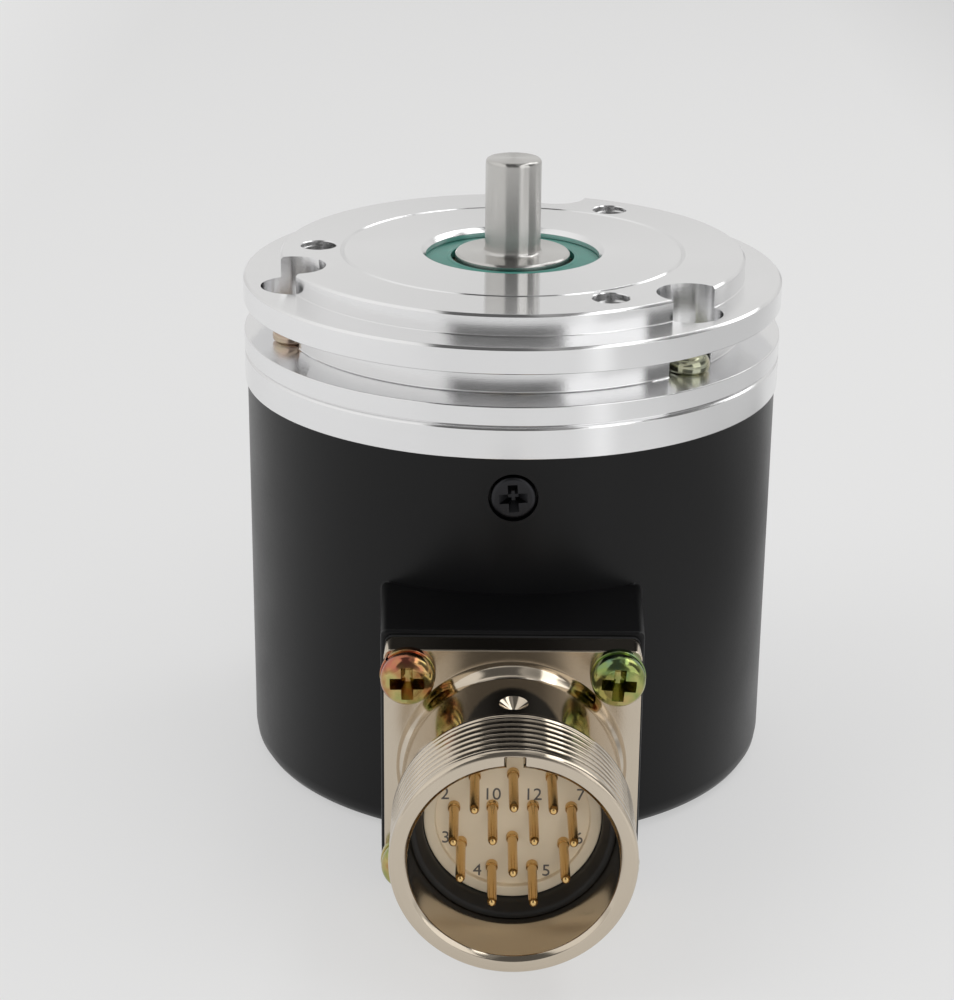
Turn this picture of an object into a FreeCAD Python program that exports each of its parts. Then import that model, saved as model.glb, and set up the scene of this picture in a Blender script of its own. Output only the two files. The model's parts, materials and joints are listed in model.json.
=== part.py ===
import FreeCAD, Part
import enum
import math
import os
import re

import Sketcher
from FreeCAD import Placement, Rotation, Vector

# Incremental rotary encoder with a 58 mm synchro flange and a round connector on its side.
# Lengths in mm, angles in degrees. Z runs out along the shaft from the collar's front face.
# The connector points to -Y. A "drop" is a distance below the collar's face,
# and a "reach" a distance from the shaft axis towards -Y.

# Flange
rim_step = 0.25
rim_lip = 4.0
collar_height = 2.2
rim_width = 2.7
groove_width = 3.3
groove_depth = 4.2
foot_width = 2.2
edge_break = 0.25
line_land = 1.0
line_half = 0.25
line_depth = 0.3
bearing_lip = 1.7
opening_chamfer = 0.15
bearing_drop = 1.0
hub_wall = 1.3
bolt_edge = 4.0
bolt_hole_r = 1.65
bolt_hole_depth = 7.0
bolt_chamfer = 0.2
bolt_angle = 177.5
access_edge = 4.75
access_hole_r = 3.45
access_angle = -42.5

# Ball bearings, 8 x 22 x 7 mm
journal_step = 1.0
bearing_r = 11.0
bearing_width = 7.0
inner_land_gap = 1.45
outer_land_gap = 1.5
seal_step = 0.6
seal_seat_depth = 0.9
seal_lip_gap = 0.6
seal_lip_rise = 0.4
seal_lip_wide = 0.2
seal_width = 0.5
seal_inset = 0.05
ball_share = 0.283
ball_count = 7
race_gap = 0.05
cage_half = 0.75
cage_width = 5.0
cage_gap = 0.1
spacer_width = 4.4
spacer_wall = 1.4
spring_height = 0.7
spring_thick = 0.35
spring_wide = 1.2
clip_thick = 1.0
clip_wide = 1.6
clip_bite = 0.5
clip_gap_angle = 40
shaft_clip_gap_angle = 80
hub_lip = 1.1

# Base ring and the cover that slides over its spigot
base_width = 3.3
web_thick = 4.0
spigot_length = 9.0
spigot_wall = 3.7
spigot_gap = 0.05
seal_ring_r = 0.7
seal_ring_drop = 21.4
seal_groove_depth = 1.45
cover_wall = 2.5
cover_floor = 2.2
cover_end = 56.65
cover_round = 2.4

# Screws: flange to base ring, and cover to base ring
screw_r = 1.2
screw_gap = 0.1
screw_count = 3
head_r = 2.5
head_height = 1.8
socket_r = 0.8
socket_depth = 1.0
flange_screw_length = 8.0
cover_screw_drop = 17.8
cover_screw_angle = -90
cover_screw_length = 4.2
cover_head_r = 2.3
counterbore_r = 2.5
counterbore_depth = 1.5

# Shaft
shaft_r = 3.0
shaft_length = 10.0
shaft_chamfer = 0.5
shoulder_step = 0.15
shoulder_drop = 0.2
shaft_clip_thick = 0.8
shaft_clip_wide = 1.6
shaft_clip_depth = 0.4
journal_tail = 1.4
shaft_end = 29.0

# Code disc and its hub
disc_r = 18.0
disc_thick = 1.0
disc_drop = 25.4
disc_gap = 0.5
hub_body_r = 5.5
hub_flange_r = 8.0
hub_flange_thick = 1.4
hub_pilot_r = 4.5
hub_pilot_length = 2.4
clamp_r = 7.5
clamp_thick = 1.2
clamp_gap = 0.05
hub_gap = 0.3
set_screw_r = 0.75
set_screw_back = 0.2

# Optics at the far side from the connector, and the main board
track_edge = 2.1
lamp_r = 1.25
lamp_length = 5.0
lamp_dome = 1.1
lamp_holder_wide = 8.0
lamp_holder_deep = 3.4
lamp_gap = 1.0
reticle_gap = 0.5
reticle_thick = 0.8
reticle_wide = 7.0
reticle_deep = 5.0
window_wide = 5.0
window_deep = 3.0
sensor_thick = 0.7
board_gap = 1.75
board_thick = 1.6
board_drop = 32.0
standoff_r = 1.9
standoff_gap = 0.2
standoff_angle = 70
standoff_count = 3
board_head_height = 1.5
board_screw_length = 5.0

# Parts on the back of the main board
chip_wide = 9.0
chip_thick = 1.5
chip_offset = 8.0
driver_wide = 10.0
driver_deep = 4.0
capacitor_r = 2.5
capacitor_height = 5.5
capacitor_edge = 4.4
capacitor_count = 2
header_wide = 10.0
header_deep = 4.0
header_thick = 2.8
header_reach = 17.0
ribbon_wide = 8.0
ribbon_thick = 0.35
ribbon_straight = 4.0

# Connector on the cover's side
thread_r = 11.4
thread_length = 7.65
neck_step = 0.9
neck_length = 10.65
boss_step = 0.7
boss_height = 0.75
boss_round_share = 0.85
socket_wall = 1.7
mouth_round = 0.45
mouth_chamfer = 0.4
tail_step = 0.7
tail_wall = 0.8
tail_gap = 0.2
tail_length = 4.36
gasket_thick = 0.5
plate_margin = 1.3
plate_corner = 0.8
plate_thick = 3.04
plate_screw_edge = 2.35
plate_screw_count = 4
plate_screw_r = 1.45
plate_screw_gap = 0.1
plate_screw_length = 9.0
plate_head_r = 2.62
plate_head_height = 2.0
plate_washer_r = 2.7
plate_washer_thick = 0.8
block_margin = 0.45
block_foot = 2.3
block_height = 8.61
block_corner = 1.2
block_draft = 1.5
dimple_r = 1.4
dimple_depth = 0.9
dimple_back = 4.0
key_half = 0.75
key_depth = 1.0
key_length = 5.0

# Insert of the connector
insert_depth = 9.5
insert_length = 6.9
insert_edge_wide = 1.1
insert_edge_step = 0.6
sleeve_lip = 2.5
sleeve_wall = 1.3
sleeve_gap = 0.05
contact_r = 0.5
contact_gap = 0.02
contact_depth = 2.1
contact_round = 0.3
contact_length = 22.9
contact_edge = 1.7
contact_step = 40
outer_contacts = 8
key_contact_step = 1.1
inner_contacts = 3
inner_contact_r = 2.2
keeper_thick = 1.2
keeper_wide = 1.8
rear_board_gap = 0.4
rear_board_thick = 1.2
rear_header_thick = 2.6

# Heights and radii that follow from the sizes above
derived = {
    "bearing_bore_r": "shaft_r + journal_step",
    "ball_circle_r": "(bearing_bore_r + bearing_r) / 2",
    "ball_r": "(bearing_r - bearing_bore_r) * ball_share",
    "inner_land_r": "ball_circle_r - inner_land_gap",
    "outer_land_r": "ball_circle_r + outer_land_gap",
    "seal_seat_r": "outer_land_r + seal_step",
    "seal_inner_r": "inner_land_r + seal_lip_gap",
    "cage_inner_r": "ball_circle_r - cage_half",
    "cage_outer_r": "ball_circle_r + cage_half",
    "opening_r": "bearing_r - bearing_lip",
    "spring_inner_r": "bearing_r - spring_wide",
    "clip_inner_r": "bearing_r - clip_wide",
    "clip_seat_r": "bearing_r + clip_bite",
    "shoulder_r": "inner_land_r + shoulder_step",
    "shaft_clip_r": "bearing_bore_r + shaft_clip_wide",
    "standoff_circle_r": "disc_r + disc_gap + standoff_r",
    "spigot_inner_r": "standoff_circle_r + standoff_r + standoff_gap",
    "spigot_r": "spigot_inner_r + spigot_wall",
    "cover_inner_r": "spigot_r + spigot_gap",
    "cover_r": "cover_inner_r + cover_wall",
    "rim_r": "cover_r + rim_step",
    "collar_r": "rim_r - rim_lip",
    "groove_r": "rim_r - groove_depth",
    "bolt_circle_r": "collar_r - bolt_edge",
    "line_r": "bolt_circle_r - bolt_hole_r - line_land",
    "access_circle_r": "rim_r - access_edge",
    "track_r": "disc_r - track_edge",
    "board_r": "cover_inner_r - board_gap",
    "capacitor_circle_r": "standoff_circle_r - capacitor_edge",
    "neck_r": "thread_r - neck_step",
    "boss_r": "neck_r + boss_step",
    "boss_round": "boss_step * boss_round_share",
    "socket_bore_r": "thread_r - socket_wall",
    "tail_bore_r": "socket_bore_r - tail_step",
    "tail_r": "tail_bore_r + tail_wall",
    "block_bore_r": "tail_r + tail_gap",
    "plate_half": "boss_r + plate_margin",
    "plate_screw_pitch": "plate_half - plate_screw_edge",
    "block_half": "plate_half + block_margin",
    "insert_r": "socket_bore_r - sleeve_wall",
    "outer_contact_r": "insert_r - insert_edge_wide - contact_edge",
    "key_contact_r": "outer_contact_r - key_contact_step",
    "keeper_inner_r": "tail_bore_r - keeper_wide",
    "rear_board_r": "tail_bore_r - rear_board_gap",
    "connector_drop": "cover_end - block_foot - block_half",
    "block_reach": "cover_r + block_height",
    "groove_top": "collar_height + rim_width",
    "groove_floor": "groove_top + groove_width",
    "split_drop": "groove_floor + foot_width",
    "front_mid": "bearing_drop + bearing_width / 2",
    "rear_drop": "bearing_drop + bearing_width + spacer_width",
    "rear_mid": "rear_drop + bearing_width / 2",
    "rear_end": "rear_drop + bearing_width",
    "clip_drop": "rear_end + spring_height",
    "hub_end": "clip_drop + clip_thick + hub_lip",
    "hub_r": "bearing_r + hub_wall",
    "cover_top": "split_drop + base_width",
    "spigot_end": "cover_top + spigot_length",
    "web_end": "split_drop + web_thick",
    "screw_hole_r": "screw_r + screw_gap",
    "head_seat": "cover_r - counterbore_depth",
    "journal_end": "rear_end + shaft_clip_thick + journal_tail",
    "disc_end": "disc_drop + disc_thick",
    "hub_top": "journal_end + hub_gap",
    "hub_flange_top": "disc_drop - hub_flange_thick",
    "set_screw_drop": "(hub_top + hub_flange_top) / 2",
    "lamp_end": "disc_drop - lamp_gap",
    "reticle_top": "disc_end + reticle_gap",
    "reticle_end": "reticle_top + reticle_thick",
    "board_end": "board_drop + board_thick",
    "gasket_reach": "block_reach + gasket_thick",
    "plate_reach": "gasket_reach + plate_thick",
    "tail_reach": "block_reach - tail_length",
    "boss_reach": "plate_reach + boss_height",
    "thread_reach": "boss_reach + neck_length",
    "thread_end": "thread_reach + thread_length",
    "mouth_reach": "thread_end + mouth_round",
    "washer_reach": "plate_reach + plate_washer_thick",
    "dimple_reach": "thread_reach - dimple_back",
    "insert_reach": "mouth_reach - insert_depth",
    "insert_back": "insert_reach - insert_length",
    "sleeve_reach": "insert_reach + sleeve_lip",
    "contact_tip": "mouth_reach - contact_depth",
    "contact_back": "contact_tip - contact_length",
    "rear_board_reach": "contact_back + rear_board_thick",
    "keeper_back": "insert_back - keeper_thick",
}


# Sheet that drives the model: one row for each size, then one for each formula

driving = {name: value for name, value in globals().items() if isinstance(value, (int, float))}
sizes = list(driving) + list(derived)
doc = FreeCAD.newDocument("rotary_encoder")
sheet = doc.addObject("Spreadsheet::Sheet", "dim")
contents = [str(value) for value in driving.values()] + ["=" + text for text in derived.values()]
for row, (name, content) in enumerate(zip(sizes, contents), 1):
    sheet.set(f"A{row}", name)
    sheet.set(f"B{row}", content)
    sheet.setAlias(f"B{row}", name)
doc.recompute()


# Indices that sketch constraints use for the two axes and for the points of a line or circle
V_AXIS, H_AXIS = range(-2, 0)
Spot = enum.IntEnum("Spot", "START END CENTRE")


# Construction helpers

def formula(text):
    """Turn plain size names into references to the sheet."""
    return re.sub(r"[a-z]\w+", lambda word: "dim." + word[0] if word[0] in sizes else word[0], text)


def bind(thing, prop, text):
    thing.setExpression(prop, formula(text))


def new_body(label):
    body = doc.addObject("PartDesign::Body", label)
    body.AllowCompound = True
    return body


def origin_feature(body, role):
    return next(feature for feature in body.Origin.OriginFeatures if feature.Role == role)


def new_sketch(body, plane="XZ_Plane", offset=None):
    """Empty sketch on an origin plane of the body, or at a formula's distance along its normal."""
    sketch = body.newObject("Sketcher::SketchObject", body.Name + "_sketch")
    sketch.AttachmentSupport = [(origin_feature(body, plane), "")]
    sketch.MapMode = "FlatFace"
    if offset:
        bind(sketch, "AttachmentOffset.Base.z", offset)
    return sketch


def hold_point(sketch, line, end, x, y):
    """Fix one point of a sketch by formulas for its two coordinates."""
    now = sketch.getPoint(line, end)
    for kind, text, value, axis in (("DistanceX", x, now.x, V_AXIS),
                                    ("DistanceY", y, now.y, H_AXIS)):
        if text == "0":
            sketch.addConstraint(Sketcher.Constraint("PointOnObject", line, end, axis))
        else:
            row = sketch.addConstraint(Sketcher.Constraint(kind, line, end, value))
            bind(sketch, f"Constraints[{row}]", text)


def add_outline(sketch, points):
    """Closed outline through points given as pairs of formulas."""
    count = len(points)
    first = sketch.GeometryCount
    turn = 2 * math.pi / count
    away = 30
    spread = 9
    loose = [Vector(away + spread * math.cos(i * turn), spread * math.sin(i * turn), 0) for i in range(count)]
    for i in range(count):
        sketch.addGeometry(Part.LineSegment(loose[i], loose[(i + 1) % count]), False)
    for i in range(count):
        sketch.addConstraint(Sketcher.Constraint("Coincident", first + i, Spot.END,
                                                 first + (i + 1) % count, Spot.START))
    for i, (x, y) in enumerate(points):
        hold_point(sketch, first + i, Spot.START, x, y)


def add_circle(sketch, x, y, radius):
    loose_r = 2
    loose_spot = Vector(loose_r, loose_r, 0)
    line = sketch.addGeometry(Part.Circle(loose_spot, Vector(0, 0, 1), loose_r), False)
    row = sketch.addConstraint(Sketcher.Constraint("Radius", line, loose_r))
    bind(sketch, f"Constraints[{row}]", radius)
    hold_point(sketch, line, Spot.CENTRE, x, y)


def box_points(x0, x1, y0, y1):
    return [(x0, y0), (x1, y0), (x1, y1), (x0, y1)]


def revolve(body, points, axis="V_Axis", angle="360", kind="Revolution", swing=None):
    """Add or cut a revolved profile, swung round Z if asked. Axis Edge1 is the profile's own first line."""
    sketch = new_sketch(body)
    if swing:
        sketch.AttachmentOffset = Placement(Vector(), Rotation(Vector(0, 1, 0), 90))
        bind(sketch, "AttachmentOffset.Rotation.Angle", swing)
    add_outline(sketch, points)
    turn = body.newObject("PartDesign::" + kind, body.Name + "_turn")
    turn.Profile = sketch
    turn.ReferenceAxis = (sketch, [axis])
    bind(turn, "Angle", angle)
    body.Tip = turn
    return turn


def turned(label, points, angle="360"):
    """Body of revolution about Z from (radius, height) formulas."""
    body = new_body(label)
    revolve(body, points, angle=angle)
    return body


def polar(body, feature, count, spread="360"):
    """Repeat a feature round the body's Z axis, over all of the turn or a part of it."""
    pattern = body.newObject("PartDesign::PolarPattern", body.Name + "_pattern")
    pattern.Originals = [feature]
    pattern.Axis = (origin_feature(body, "Z_Axis"), [""])
    bind(pattern, "Angle", spread)
    bind(pattern, "Occurrences", count)
    body.Tip = pattern
    return pattern


def pad(body, sketch, length, flip=False):
    feature = body.newObject("PartDesign::Pad", body.Name + "_pad")
    feature.Profile = sketch
    bind(feature, "Length", length)
    feature.Reversed = flip
    body.Tip = feature
    return feature


def pocket(body, sketch, length, flip=False):
    feature = body.newObject("PartDesign::Pocket", body.Name + "_pocket")
    feature.Profile = sketch
    bind(feature, "Length", length)
    feature.Reversed = flip
    body.Tip = feature
    return feature


def spot_at(radius, angle):
    """Formulas for the place at a radius and an angle about Z."""
    return [f"{radius} * {part}({angle} * 1 deg)" for part in ("cos", "sin")]


def drill(body, x, y, radius, top, depth, count=None, spread="360"):
    """Round hole down from a height, repeated round Z where a count is given."""
    sketch = new_sketch(body, "XY_Plane", top)
    add_circle(sketch, x, y, radius)
    hole = pocket(body, sketch, depth)
    if count:
        polar(body, hole, count, spread)


def dress(body, kind, radius, wanted):
    """Fillet or chamfer the edges that a test picks from the body as it stands."""
    doc.recompute()
    base = body.Tip
    edges = [f"Edge{i}" for i, edge in enumerate(body.Shape.Edges, 1) if wanted(edge)]
    feature = body.newObject("PartDesign::" + kind, body.Name + "_edges")
    feature.Base = (base, edges)
    bind(feature, "Radius" if kind == "Fillet" else "Size", radius)
    body.Tip = feature


def circle_at(radius, height):
    """Test for a full circle about Z of one radius at one height."""
    def wanted(edge):
        if not isinstance(edge.Curve, Part.Circle):
            return False
        centre = edge.Curve.Center
        near = 1e-4
        on_axis = math.hypot(centre.x, centre.y) < near
        return on_axis and abs(edge.Curve.Radius - radius) < near and abs(centre.z - height) < near
    return wanted


def along(direction):
    """Test for an edge that runs straight in one direction, give or take a mould draft."""
    def wanted(edge):
        middle = (edge.FirstParameter + edge.LastParameter) / 2
        return not isinstance(edge.Curve, Part.Circle) and abs(edge.tangentAt(middle) * direction) > 0.99
    return wanted


def turn_about_z(body, angle):
    body.Placement = Placement(Vector(), Rotation(Vector(0, 0, 1), 0))
    bind(body, "Placement.Rotation.Angle", angle)


def aim_at_connector(body, turn=0):
    """Stand a body built along Z on the connector's axis, so that its Z points to -Y."""
    tilt = Rotation(Vector(1, 0, 0), 90)
    body.Placement = Placement(Vector(), tilt * Rotation(Vector(0, 0, 1), turn))
    bind(body, "Placement.Base.z", "-connector_drop")


def box(label, wide, deep, tall, x, y, z):
    """Box from its three sizes and the formulas of its lowest corner."""
    block = doc.addObject("Part::Box", label)
    for prop, text in zip(("Length", "Width", "Height"), (wide, deep, tall)):
        bind(block, prop, text)
    for axis, text in zip("xyz", (x, y, z)):
        bind(block, "Placement.Base." + axis, text)
    return block


def screw_points(seat, length, radius, head_r, head_height, along, across=""):
    """Half section of a pan-head screw with a socket, its axis first. Heights grow towards the head."""
    top = f"{seat} + {head_height}"
    floor = f"{top} - socket_depth"
    tip = f"{seat} - {length}"
    half = [(tip, "0"), (floor, "0"), (floor, "socket_r / 2"), (top, "socket_r"),
            (top, f"{head_r} - edge_break"), (f"{top} - edge_break * 2", head_r), (seat, head_r),
            (seat, radius), (tip, radius)]
    if along == "x":
        return [(height, f"{across} + {out}") for height, out in half]
    return [(f"{across} + {out}", height) for height, out in half]


# Flange and base ring

def make_flange():
    flange = turned("flange", [
        ("opening_r", "-opening_chamfer"), ("opening_r + opening_chamfer", "0"),
        ("line_r - line_half", "0"), ("line_r", "-line_depth"), ("line_r + line_half", "0"),
        ("collar_r - edge_break", "0"), ("collar_r", "-edge_break"), ("collar_r", "-collar_height"),
        ("rim_r - edge_break", "-collar_height"), ("rim_r", "-collar_height - edge_break"),
        ("rim_r", "-groove_top"), ("groove_r", "-groove_top"), ("groove_r", "-groove_floor"),
        ("rim_r", "-groove_floor"), ("rim_r", "-split_drop + edge_break"),
        ("rim_r - edge_break", "-split_drop"), ("hub_r", "-split_drop"), ("hub_r", "-hub_end"),
        ("bearing_r", "-hub_end"), ("bearing_r", "-clip_drop - clip_thick"),
        ("clip_seat_r", "-clip_drop - clip_thick"), ("clip_seat_r", "-clip_drop"),
        ("bearing_r", "-clip_drop"), ("bearing_r", "-bearing_drop"), ("opening_r", "-bearing_drop")])
    spot = spot_at("bolt_circle_r", "bolt_angle")
    drill(flange, *spot, "bolt_hole_r", "0 mm", "bolt_hole_depth", "screw_count")
    centre = Vector(sheet.bolt_circle_r, 0, 0)
    step = 360 / sheet.screw_count
    angles = [sheet.bolt_angle + step * i for i in range(sheet.screw_count)]
    turns = [Rotation(Vector(0, 0, 1), angle).multVec(centre) for angle in angles]

    def thread_mouth(edge):
        if not isinstance(edge.Curve, Part.Circle):
            return False
        return any(edge.Curve.Center.distanceToPoint(spot) < 1e-3 for spot in turns)

    dress(flange, "Chamfer", "bolt_chamfer", thread_mouth)
    spot = spot_at("access_circle_r", "access_angle")
    drill(flange, *spot, "access_hole_r", "0 mm", "groove_floor", "screw_count")
    drill(flange, *spot, "screw_hole_r", "-groove_floor", "foot_width", "screw_count")
    return flange


def make_base_ring():
    ring = turned("base_ring", [
        ("hub_r + spigot_gap", "-split_drop"), ("rim_r - edge_break", "-split_drop"),
        ("rim_r", "-split_drop - edge_break"), ("rim_r", "-cover_top"), ("spigot_r", "-cover_top"),
        ("spigot_r", "-seal_ring_drop + seal_ring_r"),
        ("spigot_r - seal_groove_depth", "-seal_ring_drop + seal_ring_r"),
        ("spigot_r - seal_groove_depth", "-seal_ring_drop - seal_ring_r"),
        ("spigot_r", "-seal_ring_drop - seal_ring_r"), ("spigot_r", "-spigot_end"),
        ("spigot_inner_r", "-spigot_end"), ("spigot_inner_r", "-web_end"),
        ("hub_r + spigot_gap", "-web_end")])
    spot = spot_at("access_circle_r", "access_angle")
    drill(ring, *spot, "screw_hole_r", "-split_drop", "flange_screw_length - foot_width", "screw_count")
    sketch = new_sketch(ring, "XZ_Plane", "spigot_r + spigot_gap")
    add_circle(sketch, "0", "-cover_screw_drop", "screw_hole_r")
    hole = pocket(ring, sketch, "cover_wall + cover_screw_length - counterbore_depth")
    polar(ring, hole, "screw_count")
    return ring


def make_cover_seal():
    ring = doc.addObject("Part::Torus", "cover_seal")
    bind(ring, "Radius1", "spigot_r - seal_ring_r")
    bind(ring, "Radius2", "seal_ring_r")
    bind(ring, "Placement.Base.z", "-seal_ring_drop")
    return ring


def make_flange_screws():
    screws = new_body("flange_screws")
    one = revolve(screws, screw_points("-groove_floor", "flange_screw_length", "screw_r", "head_r",
                                       "head_height", "z", "access_circle_r"), axis="Edge1")
    polar(screws, one, "screw_count")
    turn_about_z(screws, "access_angle")
    return screws


# Cover with the connector's block

def make_cover():
    cover = new_body("cover")
    sketch = new_sketch(cover, "XZ_Plane", "block_reach")
    add_outline(sketch, box_points("-block_half", "block_half", "-connector_drop - block_half",
                                   "-connector_drop + block_half"))
    block = pad(cover, sketch, "block_reach", flip=True)
    bind(block, "TaperAngle", "block_draft")
    dress(cover, "Fillet", "block_corner", along(Vector(0, 1, 0)))
    revolve(cover, box_points("0", "cover_r", "-cover_end", "-cover_top"))
    dress(cover, "Fillet", "cover_round", circle_at(sheet.cover_r, -sheet.cover_end))
    revolve(cover, box_points("0", "cover_inner_r", "-cover_end + cover_floor", "-cover_top"), kind="Groove")
    mouth = new_sketch(cover, "XZ_Plane", "block_reach")
    add_circle(mouth, "0", "-connector_drop", "block_bore_r")
    pocket(cover, mouth, "block_reach - spigot_inner_r")
    threads = new_sketch(cover, "XZ_Plane", "block_reach")
    for side in ("-", ""):
        for level in ("-", "+"):
            add_circle(threads, side + "plate_screw_pitch", f"-connector_drop {level} plate_screw_pitch",
                       "plate_screw_r + plate_screw_gap")
    pocket(cover, threads, "plate_screw_length - gasket_thick")
    for radius, start, depth in (("counterbore_r", "cover_r + edge_break", "counterbore_depth + edge_break"),
                                 ("screw_hole_r", "head_seat", "cover_wall")):
        spot = new_sketch(cover, "XZ_Plane", start)
        add_circle(spot, "0", "-cover_screw_drop", radius)
        polar(cover, pocket(cover, spot, depth), "screw_count")
    return cover


def make_cover_screws():
    screws = new_body("cover_screws")
    one = revolve(screws, screw_points("head_seat", "cover_screw_length", "screw_r", "cover_head_r",
                                       "head_height", "x", "-cover_screw_drop"), axis="Edge1")
    polar(screws, one, "screw_count")
    turn_about_z(screws, "cover_screw_angle")
    return screws


# Shaft and bearings

def make_shaft():
    clip_floor = "bearing_bore_r - shaft_clip_depth"
    return turned("shaft", [
        ("0", "shaft_length"), ("shaft_r - shaft_chamfer", "shaft_length"),
        ("shaft_r", "shaft_length - shaft_chamfer"), ("shaft_r", "edge_break - shoulder_drop"),
        ("shaft_r + edge_break", "-shoulder_drop"), ("shoulder_r - edge_break", "-shoulder_drop"),
        ("shoulder_r", "-shoulder_drop - edge_break"), ("shoulder_r", "-bearing_drop"),
        ("bearing_bore_r", "-bearing_drop"), ("bearing_bore_r", "-rear_end"), (clip_floor, "-rear_end"),
        (clip_floor, "-rear_end - shaft_clip_thick"), ("bearing_bore_r", "-rear_end - shaft_clip_thick"),
        ("bearing_bore_r", "-journal_end"), ("shaft_r", "-journal_end"),
        ("shaft_r", "-shaft_end + shaft_chamfer"), ("shaft_r - shaft_chamfer", "-shaft_end"),
        ("0", "-shaft_end")])


def cut_race(ring, mid):
    """Ball groove: a circle a little larger than the ball, swept round the axis."""
    sketch = new_sketch(ring)
    add_circle(sketch, "ball_circle_r", "-" + mid, "ball_r + race_gap")
    groove = ring.newObject("PartDesign::Groove", ring.Name + "_race")
    groove.Profile = sketch
    groove.ReferenceAxis = (sketch, ["V_Axis"])
    groove.Angle = 360
    ring.Tip = groove


def seal_points(face, inwards, outwards):
    """Half section of a bearing seal: a plate in the ring's seat, rising to a lip beside the shaft."""
    plate = f"{face} {inwards} seal_inset"
    back = f"{plate} {inwards} seal_width"
    lip = f"{face} {outwards} seal_lip_rise"
    return [("seal_inner_r", back), ("seal_seat_r", back), ("seal_seat_r", plate), ("opening_r", plate),
            ("seal_inner_r + seal_lip_wide", lip), ("seal_inner_r", lip)]


def make_bearing(place, mid):
    """Five nodes of one deep groove bearing about the middle height given as a drop."""
    top = f"-{mid} + bearing_width / 2"
    end = f"-{mid} - bearing_width / 2"
    outer = turned(place + "_bearing_outer_ring", [
        ("bearing_r", top), ("bearing_r", end), ("seal_seat_r", end),
        ("seal_seat_r", end + " + seal_seat_depth"), ("outer_land_r", end + " + seal_seat_depth"),
        ("outer_land_r", top + " - seal_seat_depth"), ("seal_seat_r", top + " - seal_seat_depth"),
        ("seal_seat_r", top)])
    cut_race(outer, mid)
    inner = turned(place + "_bearing_inner_ring", box_points("bearing_bore_r", "inner_land_r", end, top))
    cut_race(inner, mid)
    seals = new_body(place + "_bearing_seals")
    revolve(seals, seal_points(top, "-", "+"))
    revolve(seals, seal_points(end, "+", "-"))
    cage = turned(place + "_bearing_cage", box_points(
        "cage_inner_r", "cage_outer_r", f"-{mid} - cage_width / 2", f"-{mid} + cage_width / 2"))
    window = new_sketch(cage, "YZ_Plane")
    add_circle(window, "0", "-" + mid, "ball_r + cage_gap")
    polar(cage, pocket(cage, window, "bearing_r", flip=True), "ball_count")
    balls = new_body(place + "_bearing_balls")
    ball = balls.newObject("PartDesign::AdditiveSphere", balls.Name + "_sphere")
    bind(ball, "Radius", "ball_r")
    ball.AttachmentSupport = [(origin_feature(balls, "XY_Plane"), "")]
    ball.MapMode = "FlatFace"
    bind(ball, "AttachmentOffset.Base.x", "ball_circle_r")
    bind(ball, "AttachmentOffset.Base.z", "-" + mid)
    polar(balls, ball, "ball_count")
    return [outer, inner, seals, cage, balls]


def make_bearing_keepers():
    """Spacers between the bearings, the conical preload spring and the two retaining rings."""
    top = "-rear_drop + spacer_width"
    outer = turned("outer_ring_spacer", box_points("bearing_r - spacer_wall", "bearing_r", "-rear_drop", top))
    inner = turned("inner_ring_spacer", box_points(
        "bearing_bore_r", "bearing_bore_r + spacer_wall", "-rear_drop", top))
    spring = turned("preload_spring", [
        ("bearing_r", "-rear_end"), ("spring_inner_r", "-clip_drop + spring_thick"),
        ("spring_inner_r", "-clip_drop"), ("bearing_r", "-rear_end - spring_thick")])
    clip = turned("bearing_retaining_ring", box_points(
        "clip_inner_r", "clip_seat_r", "-clip_drop - clip_thick", "-clip_drop"), "360 - clip_gap_angle")
    shaft_clip = turned("shaft_retaining_ring", box_points(
        "bearing_bore_r - shaft_clip_depth", "shaft_clip_r", "-rear_end - shaft_clip_thick", "-rear_end"),
        "360 - shaft_clip_gap_angle")
    return [outer, inner, spring, clip, shaft_clip]


# Code disc on the shaft's inner end

def make_disc_parts():
    hub = turned("disc_hub", [
        ("shaft_r", "-hub_top"), ("hub_body_r", "-hub_top"), ("hub_body_r", "-hub_flange_top"),
        ("hub_flange_r", "-hub_flange_top"), ("hub_flange_r", "-disc_drop"), ("hub_pilot_r", "-disc_drop"),
        ("hub_pilot_r", "-disc_drop - hub_pilot_length"), ("shaft_r", "-disc_drop - hub_pilot_length")])
    sketch = new_sketch(hub, "YZ_Plane", "0 mm")
    add_circle(sketch, "0", "-set_screw_drop", "set_screw_r + clamp_gap")
    pocket(hub, sketch, "hub_flange_r", flip=True)
    disc = turned("code_disc", box_points("hub_pilot_r + clamp_gap", "disc_r", "-disc_end", "-disc_drop"))
    clamp = turned("disc_clamp_ring", box_points(
        "hub_pilot_r + clamp_gap", "clamp_r", "-disc_end - clamp_thick", "-disc_end"))
    screw = doc.addObject("Part::Cylinder", "hub_set_screw")
    bind(screw, "Radius", "set_screw_r")
    bind(screw, "Height", "hub_body_r - shaft_r - set_screw_back")
    screw.Placement = Placement(Vector(), Rotation(Vector(0, 1, 0), 90))
    bind(screw, "Placement.Base.x", "shaft_r")
    bind(screw, "Placement.Base.z", "-set_screw_drop")
    return [hub, disc, clamp, screw]


# Lamp, reticle and sensor at the code disc's track, on the side away from the connector

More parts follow.
